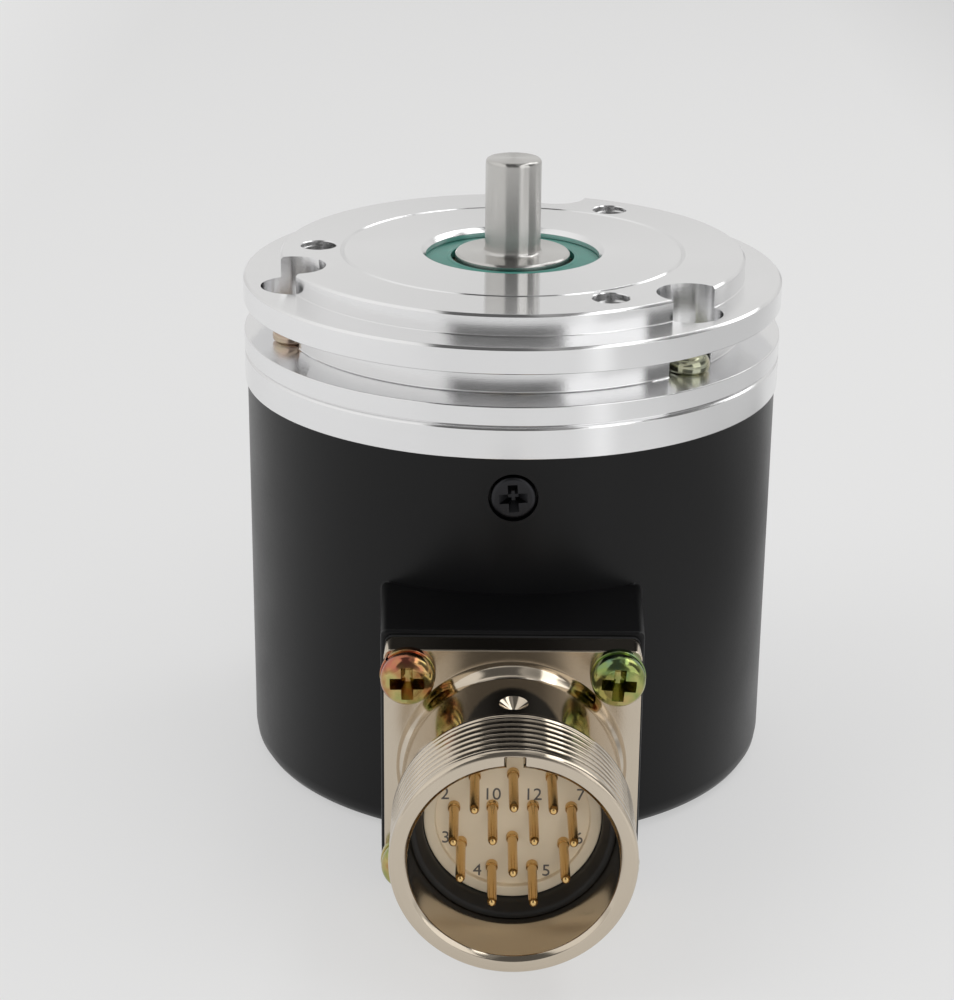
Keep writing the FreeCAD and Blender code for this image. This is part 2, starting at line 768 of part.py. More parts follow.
def make_optics():
    holder = new_body("lamp_holder")
    sketch = new_sketch(holder, "XY_Plane", "-lamp_end")
    add_outline(sketch, box_points("-lamp_holder_wide / 2", "lamp_holder_wide / 2",
                                   "track_r - lamp_holder_deep / 2", "track_r + lamp_holder_deep / 2"))
    pad(holder, sketch, "lamp_end - web_end")
    bore = new_sketch(holder, "XY_Plane", "-lamp_end")
    add_circle(bore, "0", "track_r", "lamp_r")
    pocket(holder, bore, "lamp_length", flip=True)
    lamp = turned("lamp", box_points("0", "lamp_r", "-lamp_end", "-lamp_end + lamp_length"))
    dress(lamp, "Fillet", "lamp_dome", circle_at(sheet.lamp_r, -sheet.lamp_end))
    bind(lamp, "Placement.Base.y", "track_r")
    reticle = box("reticle", "reticle_wide", "reticle_deep", "reticle_thick",
                  "-reticle_wide / 2", "track_r - reticle_deep / 2", "-reticle_end")
    mount = new_body("reticle_holder")
    frame = new_sketch(mount, "XY_Plane", "-board_drop")
    for wide, deep in (("reticle_wide", "reticle_deep"), ("window_wide", "window_deep")):
        add_outline(frame, box_points(f"-{wide} / 2", f"{wide} / 2",
                                      f"track_r - {deep} / 2", f"track_r + {deep} / 2"))
    pad(mount, frame, "board_drop - reticle_end")
    sensor = box("light_sensor", "window_wide - clamp_gap * 2", "window_deep - clamp_gap * 2", "sensor_thick",
                 "-window_wide / 2 + clamp_gap", "track_r - window_deep / 2 + clamp_gap", "-board_drop")
    return [holder, lamp, reticle, mount, sensor]


# Main board, what holds it and what it carries

def make_board():
    board = turned("main_board", box_points("0", "board_r", "-board_end", "-board_drop"))
    spot = spot_at("standoff_circle_r", "standoff_angle")
    drill(board, *spot, "screw_hole_r", "-board_drop", "board_thick", "standoff_count")
    standoffs = new_body("board_standoffs")
    post = new_sketch(standoffs, "XY_Plane", "-board_drop")
    add_circle(post, "standoff_circle_r", "0", "standoff_r")
    add_circle(post, "standoff_circle_r", "0", "screw_hole_r")
    polar(standoffs, pad(standoffs, post, "board_drop - web_end"), "standoff_count")
    turn_about_z(standoffs, "standoff_angle")
    screws = new_body("board_screws")
    head = "standoff_r + screw_gap"
    seat = "-board_end"
    one = revolve(screws, [
        ("standoff_circle_r", f"{seat} + board_screw_length"),
        ("standoff_circle_r", f"{seat} - board_head_height"),
        (f"standoff_circle_r + {head}", f"{seat} - board_head_height"), (f"standoff_circle_r + {head}", seat),
        ("standoff_circle_r + screw_r", seat),
        ("standoff_circle_r + screw_r", f"{seat} + board_screw_length")],
        axis="Edge1")
    polar(screws, one, "standoff_count")
    turn_about_z(screws, "standoff_angle")
    return [board, standoffs, screws]


def make_board_parts():
    chip = box("counter_chip", "chip_wide", "chip_wide", "chip_thick",
               "-chip_wide / 2", "chip_offset - chip_wide / 2", "-board_end - chip_thick")
    driver = box("line_driver_chip", "driver_wide", "driver_deep", "chip_thick",
                 "-driver_wide / 2", "-chip_offset + driver_deep / 2", "-board_end - chip_thick")
    capacitors = new_body("board_capacitors")
    can = new_sketch(capacitors, "XY_Plane", "-board_end")
    add_circle(can, "capacitor_circle_r", "0", "capacitor_r")
    polar(capacitors, pad(capacitors, can, "capacitor_height", flip=True), "capacitor_count")
    header = box("board_header", "header_wide", "header_deep", "header_thick",
                 "-header_wide / 2", "-header_reach", "-board_end - header_thick")
    ribbon = new_body("ribbon")
    top = "-board_end - header_thick / 2"
    low = "-connector_drop"
    ends = [("header_reach", top), ("header_reach + ribbon_straight", top),
            ("contact_back - rear_header_thick - ribbon_straight", low),
            ("contact_back - rear_header_thick", low)]
    under = [(reach, f"{height} - ribbon_thick") for reach, height in reversed(ends)]
    strip = new_sketch(ribbon, "YZ_Plane", "-ribbon_wide / 2")
    add_outline(strip, [(f"-({reach})", height) for reach, height in ends + under])
    pad(ribbon, strip, "ribbon_wide")
    return [chip, driver, capacitors, header, ribbon]


# Connector: gasket, shell, insert, contacts and the small board on the contacts

def plate_outline(body, half, reach, bore):
    """Square with four screw holes and a round bore, drawn across the connector's axis."""
    sketch = new_sketch(body, "XY_Plane", reach)
    add_outline(sketch, box_points("-" + half, half, "-" + half, half))
    for side in ("-", ""):
        for level in ("-", ""):
            add_circle(sketch, side + "plate_screw_pitch", level + "plate_screw_pitch",
                       "plate_screw_r + plate_screw_gap")
    add_circle(sketch, "0", "0", bore)
    return sketch


def make_gasket():
    gasket = new_body("connector_gasket")
    pad(gasket, plate_outline(gasket, "plate_half", "block_reach", "block_bore_r"), "gasket_thick")
    dress(gasket, "Fillet", "plate_corner", along(Vector(0, 0, 1)))
    aim_at_connector(gasket)
    return gasket


def make_connector_shell():
    shell = new_body("connector_shell")
    pad(shell, plate_outline(shell, "plate_half", "gasket_reach", "tail_bore_r"), "plate_thick")
    dress(shell, "Fillet", "plate_corner", along(Vector(0, 0, 1)))
    revolve(shell, [
        ("tail_bore_r", "tail_reach"), ("tail_r", "tail_reach"), ("tail_r", "plate_reach"),
        ("boss_r", "plate_reach"), ("boss_r", "boss_reach"), ("neck_r", "boss_reach"),
        ("neck_r", "thread_reach - edge_break"), ("thread_r", "thread_reach"), ("thread_r", "mouth_reach"),
        ("socket_bore_r + mouth_chamfer", "mouth_reach"), ("socket_bore_r", "mouth_reach - mouth_chamfer"),
        ("socket_bore_r", "insert_back"), ("tail_bore_r", "insert_back")])
    dress(shell, "Fillet", "boss_round", circle_at(sheet.boss_r, sheet.boss_reach))
    dress(shell, "Fillet", "mouth_round", circle_at(sheet.thread_r, sheet.mouth_reach))
    key = new_sketch(shell, "XY_Plane", "mouth_reach")
    add_outline(key, box_points("-key_half", "key_half",
                                "socket_bore_r - key_depth", "socket_bore_r + key_depth"))
    pocket(shell, key, "key_length")
    dimple = shell.newObject("PartDesign::SubtractiveCone", "connector_shell_dimple")
    dimple.AttachmentSupport = [(origin_feature(shell, "XZ_Plane"), "")]
    dimple.MapMode = "FlatFace"
    bind(dimple, "Radius1", "dimple_r")
    dimple.Radius2 = 0
    bind(dimple, "Height", "dimple_depth")
    bind(dimple, "AttachmentOffset.Base.y", "dimple_reach")
    bind(dimple, "AttachmentOffset.Base.z", "-neck_r")
    shell.Tip = dimple
    aim_at_connector(shell)
    return shell


def make_connector_screws():
    screws = new_body("connector_screws")
    reach = "plate_screw_pitch * sqrt(2)"
    one = revolve(screws, screw_points("washer_reach", "plate_screw_length", "plate_screw_r", "plate_head_r",
                                       "plate_head_height", "z", reach), axis="Edge1")
    polar(screws, one, "plate_screw_count")
    aim_at_connector(screws, 45)
    washers = new_body("connector_washers")
    ring = new_sketch(washers, "XY_Plane", "plate_reach")
    for radius in ("plate_washer_r", "plate_screw_r + plate_screw_gap"):
        add_circle(ring, reach, "0", radius)
    polar(washers, pad(washers, ring, "plate_washer_thick"), "plate_screw_count")
    aim_at_connector(washers, 45)
    return [screws, washers]


def contact_groups():
    """Radius, swing from the key, count and spread of each group of contacts."""
    return [("key_contact_r", None, None, None),
            ("-inner_contact_r", None, "inner_contacts", "360"),
            ("outer_contact_r", "contact_step", "outer_contacts", "contact_step * (outer_contacts - 1)")]


def contact_points(circle_r):
    """Half section of a round-nosed contact, its own axis first."""
    shoulder = "contact_tip - contact_round"
    return [(circle_r, "contact_back"), (circle_r, "contact_tip"),
            (f"{circle_r} + contact_r - contact_round", "contact_tip"),
            (f"{circle_r} + contact_r", shoulder), (f"{circle_r} + contact_r", "contact_back")]


def make_contacts():
    contacts = new_body("contact_pins")
    for circle_r, swing, count, spread in contact_groups():
        one = revolve(contacts, contact_points(circle_r), axis="Edge1", swing=swing)
        if count:
            polar(contacts, one, count, spread)
    aim_at_connector(contacts, 90)
    return contacts


def drill_for_contacts(body, top, depth):
    for circle_r, swing, count, spread in contact_groups():
        spot = spot_at(circle_r, swing) if swing else (circle_r, "0")
        drill(body, *spot, "contact_r + contact_gap", top, depth, count, spread)


def make_insert():
    insert = turned("connector_insert", [
        ("0", "insert_back"), ("insert_r", "insert_back"), ("insert_r", "insert_reach + insert_edge_step"),
        ("insert_r - insert_edge_wide", "insert_reach + insert_edge_step"),
        ("insert_r - insert_edge_wide", "insert_reach"), ("0", "insert_reach")])
    drill_for_contacts(insert, "insert_reach", "insert_reach - insert_back")
    aim_at_connector(insert, 90)
    sleeve = turned("insert_sleeve", box_points(
        "insert_r + sleeve_gap", "socket_bore_r", "insert_back", "sleeve_reach"))
    aim_at_connector(sleeve)
    keeper = turned("insert_keeper", box_points(
        "keeper_inner_r", "tail_bore_r", "keeper_back", "insert_back"))
    aim_at_connector(keeper)
    return [insert, sleeve, keeper]


def make_rear_board():
    board = turned("connector_board", box_points("0", "rear_board_r", "contact_back", "rear_board_reach"))
    drill_for_contacts(board, "rear_board_reach", "rear_board_thick")
    aim_at_connector(board, 90)
    header = box("connector_header", "header_wide", "rear_header_thick", "header_deep",
                 "-header_wide / 2", "-contact_back", "-connector_drop - header_deep / 2")
    return [board, header]


nodes = [make_flange(), make_base_ring(), make_cover_seal(), make_flange_screws(), make_cover(),
         make_cover_screws(), make_shaft()]
nodes += make_bearing("front", "front_mid")
nodes += make_bearing("rear", "rear_mid")
nodes += make_bearing_keepers()
nodes += make_disc_parts()
nodes += make_optics()
nodes += make_board()
nodes += make_board_parts()
nodes += [make_gasket(), make_connector_shell()] + make_connector_screws() + [make_contacts()]
nodes += make_insert()
nodes += make_rear_board()
doc.recompute()

for thing in doc.Objects:
    if "Invalid" in thing.State or "Error" in thing.State:
        raise RuntimeError(f"{thing.Name} did not rebuild: {thing.State}")

os.makedirs("parts", exist_ok=True)
for node in nodes:
    if node.Shape.isNull() or not node.Shape.isValid():
        raise RuntimeError(f"{node.Label} has no valid shape")
    node.Shape.exportStep(f"parts/{node.Label}.step")
    print(node.Label, len(node.Shape.Solids), round(node.Shape.Volume, 2))
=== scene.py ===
# %% [markdown]
# # Dressing an incremental rotary encoder
# The part is a shaft encoder: a turned aluminium clamping flange with a plain shaft, a black
# cup-shaped cover, and a round threaded connector on its side. The packed solids are already exact
# in size. This lesson keeps them as a fixed frame and builds what the eye reads around it: softened
# edges, screws with cross slots, a real thread, and finishes that carry marks of how each piece is made.

import json
from math import copysign, cos, pi, radians, sin, sqrt, tan, tau

import bmesh
import bpy
from mathutils import Matrix, Vector


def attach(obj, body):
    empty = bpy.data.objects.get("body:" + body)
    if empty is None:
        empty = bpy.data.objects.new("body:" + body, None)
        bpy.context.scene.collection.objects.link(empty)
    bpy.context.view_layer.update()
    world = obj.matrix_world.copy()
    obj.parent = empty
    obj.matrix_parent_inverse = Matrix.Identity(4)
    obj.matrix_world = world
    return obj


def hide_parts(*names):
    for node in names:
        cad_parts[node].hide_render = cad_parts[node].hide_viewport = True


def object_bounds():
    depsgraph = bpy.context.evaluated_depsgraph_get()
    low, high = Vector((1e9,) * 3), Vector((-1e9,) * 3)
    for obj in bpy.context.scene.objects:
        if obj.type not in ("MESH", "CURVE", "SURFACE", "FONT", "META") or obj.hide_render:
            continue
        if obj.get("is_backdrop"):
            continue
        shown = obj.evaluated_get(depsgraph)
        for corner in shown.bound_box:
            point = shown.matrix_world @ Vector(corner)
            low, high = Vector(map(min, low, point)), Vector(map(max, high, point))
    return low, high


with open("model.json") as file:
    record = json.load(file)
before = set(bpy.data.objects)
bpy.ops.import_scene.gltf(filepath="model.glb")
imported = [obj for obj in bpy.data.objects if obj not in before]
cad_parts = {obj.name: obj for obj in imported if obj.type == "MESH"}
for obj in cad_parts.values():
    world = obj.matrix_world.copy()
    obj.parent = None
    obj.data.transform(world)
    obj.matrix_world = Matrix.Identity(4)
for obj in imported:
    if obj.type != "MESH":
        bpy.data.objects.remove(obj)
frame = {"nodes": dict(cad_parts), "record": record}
cad_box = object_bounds()
scene = bpy.context.scene
MM = 0.001

# %% [markdown]
# ## Camera
# The photograph was taken from in front of the connector, about a hand's breadth above the flange.
# Its focal length and place can be worked out from outlines whose real size is known, here the rim's
# ellipse and the connector's ring. A camera stated by place, heading and pitch is easier to read
# than a matrix, and small errors stay visible as one number. Lengths are in mm, angles in radians.

# %% Camera at the photograph's angle
CAMERA_AWAY = 255.17
CAMERA_HEIGHT = 68.33
CAMERA_SIDE = -0.01469
CAMERA_HEADING = -0.00062
CAMERA_PITCH = 0.36444
CAMERA_ROLL = 0.00911
FOCAL_PIXELS = 2437.4
IMAGE_LONG_SIDE = 1000
SENSOR = 36.0
NEAREST_SEEN = 0.01


def new_object(name, data):
    """Object for a mesh, lamp, text or camera, linked to the scene."""
    thing = bpy.data.objects.new(name, data)
    scene.collection.objects.link(thing)
    return thing


def place_camera():
    side, front = sin(CAMERA_SIDE), -cos(CAMERA_SIDE)
    eye = Vector((CAMERA_AWAY * side, CAMERA_AWAY * front, CAMERA_HEIGHT))
    level = Vector((-sin(CAMERA_HEADING), cos(CAMERA_HEADING), 0))
    ahead = level * cos(CAMERA_PITCH) - Vector((0, 0, sin(CAMERA_PITCH)))
    right = ahead.cross(Vector((0, 0, 1))).normalized()
    up = right.cross(ahead)
    rolled_right = right * cos(CAMERA_ROLL) + up * sin(CAMERA_ROLL)
    rolled_up = up * cos(CAMERA_ROLL) - right * sin(CAMERA_ROLL)
    camera = new_object("camera", bpy.data.cameras.new("camera"))
    turn = Matrix((rolled_right, rolled_up, -ahead)).transposed().to_4x4()
    camera.matrix_world = Matrix.Translation(eye * MM) @ turn
    camera.data.sensor_width = SENSOR
    camera.data.lens = FOCAL_PIXELS / IMAGE_LONG_SIDE * SENSOR
    camera.data.clip_start = NEAREST_SEEN
    scene.camera = camera
    return camera


camera = place_camera()
print("lens", round(camera.data.lens, 2), "mm at", [round(v, 4) for v in camera.location])

# %% [markdown]
# ## Node trees as sums
# A finish is a chain of small sums on sockets. Wiring them by hand hides the idea, so one small class
# holds a socket and lets Python's own operators add the Math nodes. The same class builds the
# Geometry Nodes trees further down, because a socket is a socket in both.

# %% A wire that can be added, multiplied and mixed
MIX_FIRST, MIX_SECOND, MIXED_COLOR = 6, 7, 2


class Wire:
    """One output socket of a node tree. Sums on wires add Math nodes to that tree."""

    def __init__(self, tree, socket=None):
        self.tree = tree
        self.socket = socket

    def add(self, kind, inputs=None, output=0, stops=None, **settings):
        """Add any node: settings first, then ramp stops, then the values or wires of its sockets."""
        node = self.tree.nodes.new(kind)
        for name, value in settings.items():
            setattr(node, name, value)
        for number, (place, tone) in enumerate(stops or []):
            points = node.color_ramp.elements
            point = points[number] if number < len(points) else points.new(place)
            point.position = place
            point.color = (*tone, 1.0)
        for key, value in (inputs or {}).items():
            if isinstance(value, Wire):
                self.tree.links.new(value.socket, node.inputs[key])
            else:
                node.inputs[key].default_value = value
        return Wire(self.tree, node.outputs[output])

    def out(self, output):
        """Another output of the same node."""
        return Wire(self.tree, self.socket.node.outputs[output])

    def sum(self, operation, *values):
        return self.add("ShaderNodeMath", dict(enumerate(values)), operation=operation)

    def __add__(self, other):
        return self.sum("ADD", self, other)

    def __sub__(self, other):
        return self.sum("SUBTRACT", self, other)

    def __rsub__(self, other):
        return self.sum("SUBTRACT", other, self)

    def __mul__(self, other):
        return self.sum("MULTIPLY", self, other)

    def __truediv__(self, other):
        return self.sum("DIVIDE", self, other)

    def __rtruediv__(self, other):
        return self.sum("DIVIDE", other, self)

    def __pow__(self, other):
        return self.sum("POWER", self, other)

    __radd__ = __add__
    __rmul__ = __mul__

    def limited(self, low, high):
        return self.sum("MINIMUM", self.sum("MAXIMUM", self, low), high)

    def ramp(self, start, end, **settings):
        """Share that climbs from 0 at a start value to 1 at an end value."""
        return self.add("ShaderNodeMapRange", {"Value": self, "From Min": start, "From Max": end}, **settings)

    def blend(self, first, second):
        """Colour between two colours or wires, this wire being the share of the second."""
        sockets = {0: self}
        for key, tone in ((MIX_FIRST, first), (MIX_SECOND, second)):
            sockets[key] = tone if isinstance(tone, Wire) else (*tone, 1.0)
        return self.add("ShaderNodeMix", sockets, output=MIXED_COLOR, data_type="RGBA")

    def noise(self, scale, detail=2.0, rough=0.5, dimensions="3D"):
        """Cloudy value from 0 to 1 on this vector, with a scale in patches per metre."""
        sockets = {"Vector": self, "Scale": scale, "Detail": detail, "Roughness": rough}
        return self.add("ShaderNodeTexNoise", sockets, noise_dimensions=dimensions)


print("operators ready:", [name for name in vars(Wire) if name.startswith("__")][:8])

# %% Start and end of a finish
def grey(value):
    return (value, value, value)


def new_finish(name, **constants):
    """Principled material with constant sockets set by name, and its object coordinates."""
    made = bpy.data.materials.new(name)
    made.use_nodes = True
    shader = made.node_tree.nodes["Principled BSDF"]
    for socket, value in constants.items():
        shader.inputs[socket.replace("_", " ")].default_value = value
    return made, Wire(made.node_tree).add("ShaderNodeTexCoord", output="Object")


def plug(made, color, roughness=None, height=None, depth=0.01, strength=1.0):
    """Lead wires to the shader's colour, roughness and bump. Depth is in millimetres."""
    tree = made.node_tree
    shader = tree.nodes["Principled BSDF"]
    tree.links.new(color.socket, shader.inputs["Base Color"])
    if roughness:
        tree.links.new(roughness.socket, shader.inputs["Roughness"])
    if height:
        sockets = {"Strength": strength, "Distance": depth * MM, "Height": height}
        bump = height.add("ShaderNodeBump", sockets)
        tree.links.new(bump.socket, shader.inputs["Normal"])
    return made


print("finish helpers ready")

# %% [markdown]
# ## Studio
# The photograph shows the encoder on a seamless pale table in soft light. Metal only shows what
# surrounds it, so the room matters more than the lamps: it is light to the left and behind, dim to
# the right, pale along the horizon, and has a dark patch above the camera. That patch draws the dark
# bands on the flange's collar and groove and on the shaft. The camera and mirrors see the table as its
# paint mixed with a glow, so it stays pale and keeps the shadow. The glow is painted brighter to the
# left and dimmer to the right, a painted fall-off of light. Mirrors alone also see a bright streak and
# a shaded place on it, which give the turned walls their lighter and darker stretches.

# %% Table
TABLE_SIZE = 6.0
TABLE_TONE = grey(0.80)
TABLE_CLOUDED = grey(0.776)
CLOUDS_PER_METRE = 6.0
GLOW_SHARE = 0.55
GLOW = grey(0.85)
GLOW_LEFT = grey(1.02)
GLOW_RIGHT = grey(0.52)
GLOW_RIGHT_SEEN = grey(0.66)
GLOW_EVEN = 0.10
GLOW_FADED = 0.18
STREAK = grey(1.15)
STREAK_SLOPE = 0.675
STREAK_HALF = 0.22
STREAK_STARTS = 0.07
STREAK_FULL = 0.10
SHADE = grey(0.15)
SHADE_STARTS = 0.04
SHADE_FULL = 0.08
SHADE_SIDE = 0.115
SHADE_FRONT = 0.05
SHADE_BACK = -0.06
SHADE_FADE = 0.03


def table_glow(place, camera_ray, mirror_ray):
    """Colour of the table's glow at each place, in metres from the part."""
    across = place.add("ShaderNodeSeparateXYZ", {0: place})
    ahead = across.out(1) * -1.0
    # Left and right shares: a painted fall-off of light, brighter to the left and dimmer to the right.
    left = (across * -1.0).ramp(GLOW_EVEN, GLOW_FADED)
    right = across.ramp(GLOW_EVEN, GLOW_FADED)
    right_glow = camera_ray.blend(GLOW_RIGHT, GLOW_RIGHT_SEEN)
    glow = right.blend(left.blend(GLOW, GLOW_LEFT), right_glow)
    off_streak = across.sum("ABSOLUTE", across / ahead - STREAK_SLOPE)
    streak = off_streak.ramp(STREAK_HALF, 0.0) * ahead.ramp(STREAK_STARTS, STREAK_FULL) * mirror_ray
    shade = across.ramp(SHADE_STARTS, SHADE_FULL) * across.ramp(SHADE_SIDE + SHADE_FADE, SHADE_SIDE)
    shade = shade * ahead.ramp(SHADE_FRONT, 0.0) * ahead.ramp(SHADE_BACK - SHADE_FADE, SHADE_BACK)
    return streak.blend((shade * mirror_ray).blend(glow, SHADE), STREAK)


def mesh_of(build, name="shape"):
    """Mesh from a bmesh, which is freed."""
    mesh = bpy.data.meshes.new(name)
    build.to_mesh(mesh)
    build.free()
    return mesh


def make_table():
    build = bmesh.new()
    bmesh.ops.create_grid(build, x_segments=8, y_segments=8, size=TABLE_SIZE / 2)
    bmesh.ops.translate(build, verts=build.verts, vec=(0, 0, cad_box[0][2]))
    table = new_object("table", mesh_of(build, "table"))
    paint, place = new_finish("pale_table", Roughness=0.7, Specular_IOR_Level=0.2)
    plug(paint, place.noise(CLOUDS_PER_METRE).blend(TABLE_TONE, TABLE_CLOUDED))
    camera_ray = place.add("ShaderNodeLightPath", output="Is Camera Ray")
    mirror_ray = camera_ray.out("Is Glossy Ray")
    seen = (camera_ray + mirror_ray + camera_ray.out("Is Transmission Ray")).limited(0.0, 1.0)
    glow = place.add("ShaderNodeEmission", {"Color": table_glow(place, camera_ray, mirror_ray)})
    tree = paint.node_tree
    painted = Wire(tree, tree.nodes["Principled BSDF"].outputs[0])
    mix = glow.add("ShaderNodeMixShader", {0: seen * GLOW_SHARE, 1: painted, 2: glow})
    tree.links.new(mix.socket, tree.nodes["Material Output"].inputs["Surface"])
    table.data.materials.append(paint)
    table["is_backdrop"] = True
    return table


print("table", TABLE_SIZE, "m wide:", make_table().name)

# %% Room
ROOM_TINT = (1.0, 0.995, 0.985, 1.0)
LEFT_TONE = 0.95
RIGHT_TONE = 0.16
SIDES_MEET = 0.5
BEHIND_TONE = 0.77
BEHIND_STARTS = 0.1
BEHIND_FULL = 0.8
PATCH_TONE = 0.12
PATCH_X = -0.10
PATCH_Z = 0.50
PATCH_WIDE = 0.40
PATCH_TALL = 0.55
PATCH_SOFT = 0.1
PATCH_BACK = 0.33
BACKDROP = 0.70
HORIZON_EVEN = 0.12
HORIZON_TOP = 0.24
SOFT = {"interpolation_type": "SMOOTHSTEP"}


def light_room():
    """Surroundings by direction, from -1 to 1 each way, with an oval dark patch in front."""
    world = bpy.data.worlds.new("room")
    world.use_nodes = True
    tree = world.node_tree
    way = Wire(tree).add("ShaderNodeTexCoord", output="Generated")
    x = way.add("ShaderNodeSeparateXYZ", {0: way})
    y, z = x.out(1), x.out(2)
    sides = RIGHT_TONE + x.ramp(SIDES_MEET, -SIDES_MEET, **SOFT) * (LEFT_TONE - RIGHT_TONE)
    walls = sides + y.ramp(BEHIND_STARTS, BEHIND_FULL, **SOFT) * (BEHIND_TONE - sides)
    across, up = (x - PATCH_X) / PATCH_WIDE, (z - PATCH_Z) / PATCH_TALL
    patch = (across * across + up * up).ramp(1 + PATCH_SOFT, 1 - PATCH_SOFT, **SOFT)
    in_front = x.sum("LESS_THAN", y, PATCH_BACK)
    tone = walls + patch * in_front * (PATCH_TONE - walls)
    tone = tone + z.ramp(HORIZON_TOP, HORIZON_EVEN) * (BACKDROP - tone)
    tree.links.new(tone.socket, tree.nodes["Background"].inputs["Strength"])
    tree.nodes["Background"].inputs["Color"].default_value = ROOM_TINT
    scene.world = world
    return world


print("room:", len(light_room().node_tree.nodes), "nodes")

# %% Lamps
# Degrees right of the camera and above the table, metres away, wide and tall, radiance, seen in mirrors.
LAMPS = (
    ("left_soft", -75, 40, 0.75, 0.40, 0.40, 1.2, False),
    ("right_window", 46, 22, 0.60, 0.44, 0.40, 1.05, True),
    ("right_strip", 90, 60, 0.70, 0.90, 0.15, 1.9, True),
    ("top_soft", 160, 75, 0.80, 0.60, 0.60, 0.5, False),
    ("right_back", 122, 38, 0.60, 0.22, 0.34, 1.5, True),
    ("front_fill", 5, 22, 0.80, 0.30, 0.30, 3.9, False),
)
for name, turn, rise, away, wide, tall, glow, mirrored in LAMPS:
    light = bpy.data.lights.new(name, "AREA")
    light.shape = "RECTANGLE"
    light.size = wide
    light.size_y = tall
    light.energy = glow * pi * wide * tall
    lamp = new_object(name, light)
    level = away * cos(radians(rise))
    lamp.location = (level * sin(radians(turn)), -level * cos(radians(turn)),
                     away * sin(radians(rise)))
    lamp.rotation_euler = (-lamp.location).to_track_quat("-Z", "Y").to_euler()
    lamp.visible_glossy = mirrored
scene.view_settings.view_transform = "Standard"

# %% [markdown]
# ## Finishes
# Turned metal carries rings round the lathe's axis: circles on a face, level lines on a wall. Both
# come from one idea, a noise that reads only the distance from the axis and the height along it.
# Painted and moulded surfaces carry a fine even grain instead. Most finishes below are rows of a
# table, so that their colour, roughness and height can be read side by side. Nearly every one is named
# after the material slot that it fills, and patterns count per metre.

# %% Turned metal
CONNECTOR_Z = -41.4
WALL_FINENESS = 3.0
HAZE_PER_METRE = 160.0
HAZE_SHARE = 0.6
ROUGH_LEAST, ROUGH_HAZE, ROUGH_RINGS = 0.72, 0.30, 0.26


def lathe_place(place, on_connector=False):
    """Vector of distance from the turning axis and height along it, for rings."""
    x = place.add("ShaderNodeSeparateXYZ", {0: place})
    y, z = x.out(1), x.out(2)
    if on_connector:
        y, z = z - CONNECTOR_Z * MM, y
    away = (x * x + y * y) ** 0.5
    return place.add("ShaderNodeCombineXYZ", {0: away, 1: z * WALL_FINENESS})


def turned_metal(name, tone, dark, walls, faces, rings, depth, on_connector=False, **constants):
    """Bare metal with turning rings and faint handling marks. Walls and faces have their own roughness."""
    made, place = new_finish(name, Metallic=1.0, **constants)
    turning = lathe_place(place, on_connector).noise(rings, 3.0, 0.6, "2D")
    haze = place.noise(HAZE_PER_METRE, 3.0)
    color = (haze * HAZE_SHARE + turning * (1 - HAZE_SHARE)).blend(dark, tone)
    axis = 1 if on_connector else 2
    facing = place.add("ShaderNodeSeparateXYZ", {0: place.out("Normal")}, output=axis)
    rough = walls + facing * facing * (faces - walls)
    rough = rough * (ROUGH_LEAST + haze * ROUGH_HAZE + turning * ROUGH_RINGS)
    return plug(made, color, rough, turning, depth)


print("turned metal: haze of", HAZE_PER_METRE, "patches per metre")

# %% [markdown]
# The flange is fine-turned and then left bare, so it is pale, a little cloudy and still mirrors the
# shaft. The shaft is ground, which leaves finer and sharper lines. The connector's shell is nickel on
# brass, which is warmer. Yellow chromate on zinc is a film thin enough to break light into colours,
# so its tone drifts from straw to green and to rose over a few millimetres. The connector's screws
# lean to rose on the left and to green on the right, and the flange's screws have a paler film.

# %% Metals
PLATE_SCREW_REACH = 10.15
UPPER_SCREWS_Z = CONNECTOR_Z + PLATE_SCREW_REACH
FLANGE_SCREWS_END = -12.0
PLATE_SCREWS_FROM = -20.0
PALE_ZINC = (0.60, 0.57, 0.48)
FILM_TONES = [(0.12, (0.50, 0.17, 0.11)), (0.28, (0.48, 0.26, 0.11)), (0.40, (0.52, 0.42, 0.17)),
              (0.56, (0.38, 0.39, 0.14)), (0.70, (0.24, 0.32, 0.10)), (0.86, (0.18, 0.29, 0.18))]
FILM_MIDDLE = 0.47
FILM_LEAST = 0.35
DRIFT_PER_METRE, DRIFT_FINE_PER_METRE = 480.0, 1400.0
DRIFT_WIDE, DRIFT_FINE = 0.9, 0.12
DRIFT_ACROSS = 12.0
TILT_STEEP, TILT_MOST = 6000.0, 0.2
TURNED = {"Anisotropic": 1.0, "Anisotropic_Rotation": 0.25}
ON_CONNECTOR = {"on_connector": True}
METAL_EXTRAS = {"turned_aluminium": TURNED, "stainless": TURNED, "nickel_plate": ON_CONNECTOR,
                "gold_plate": ON_CONNECTOR}
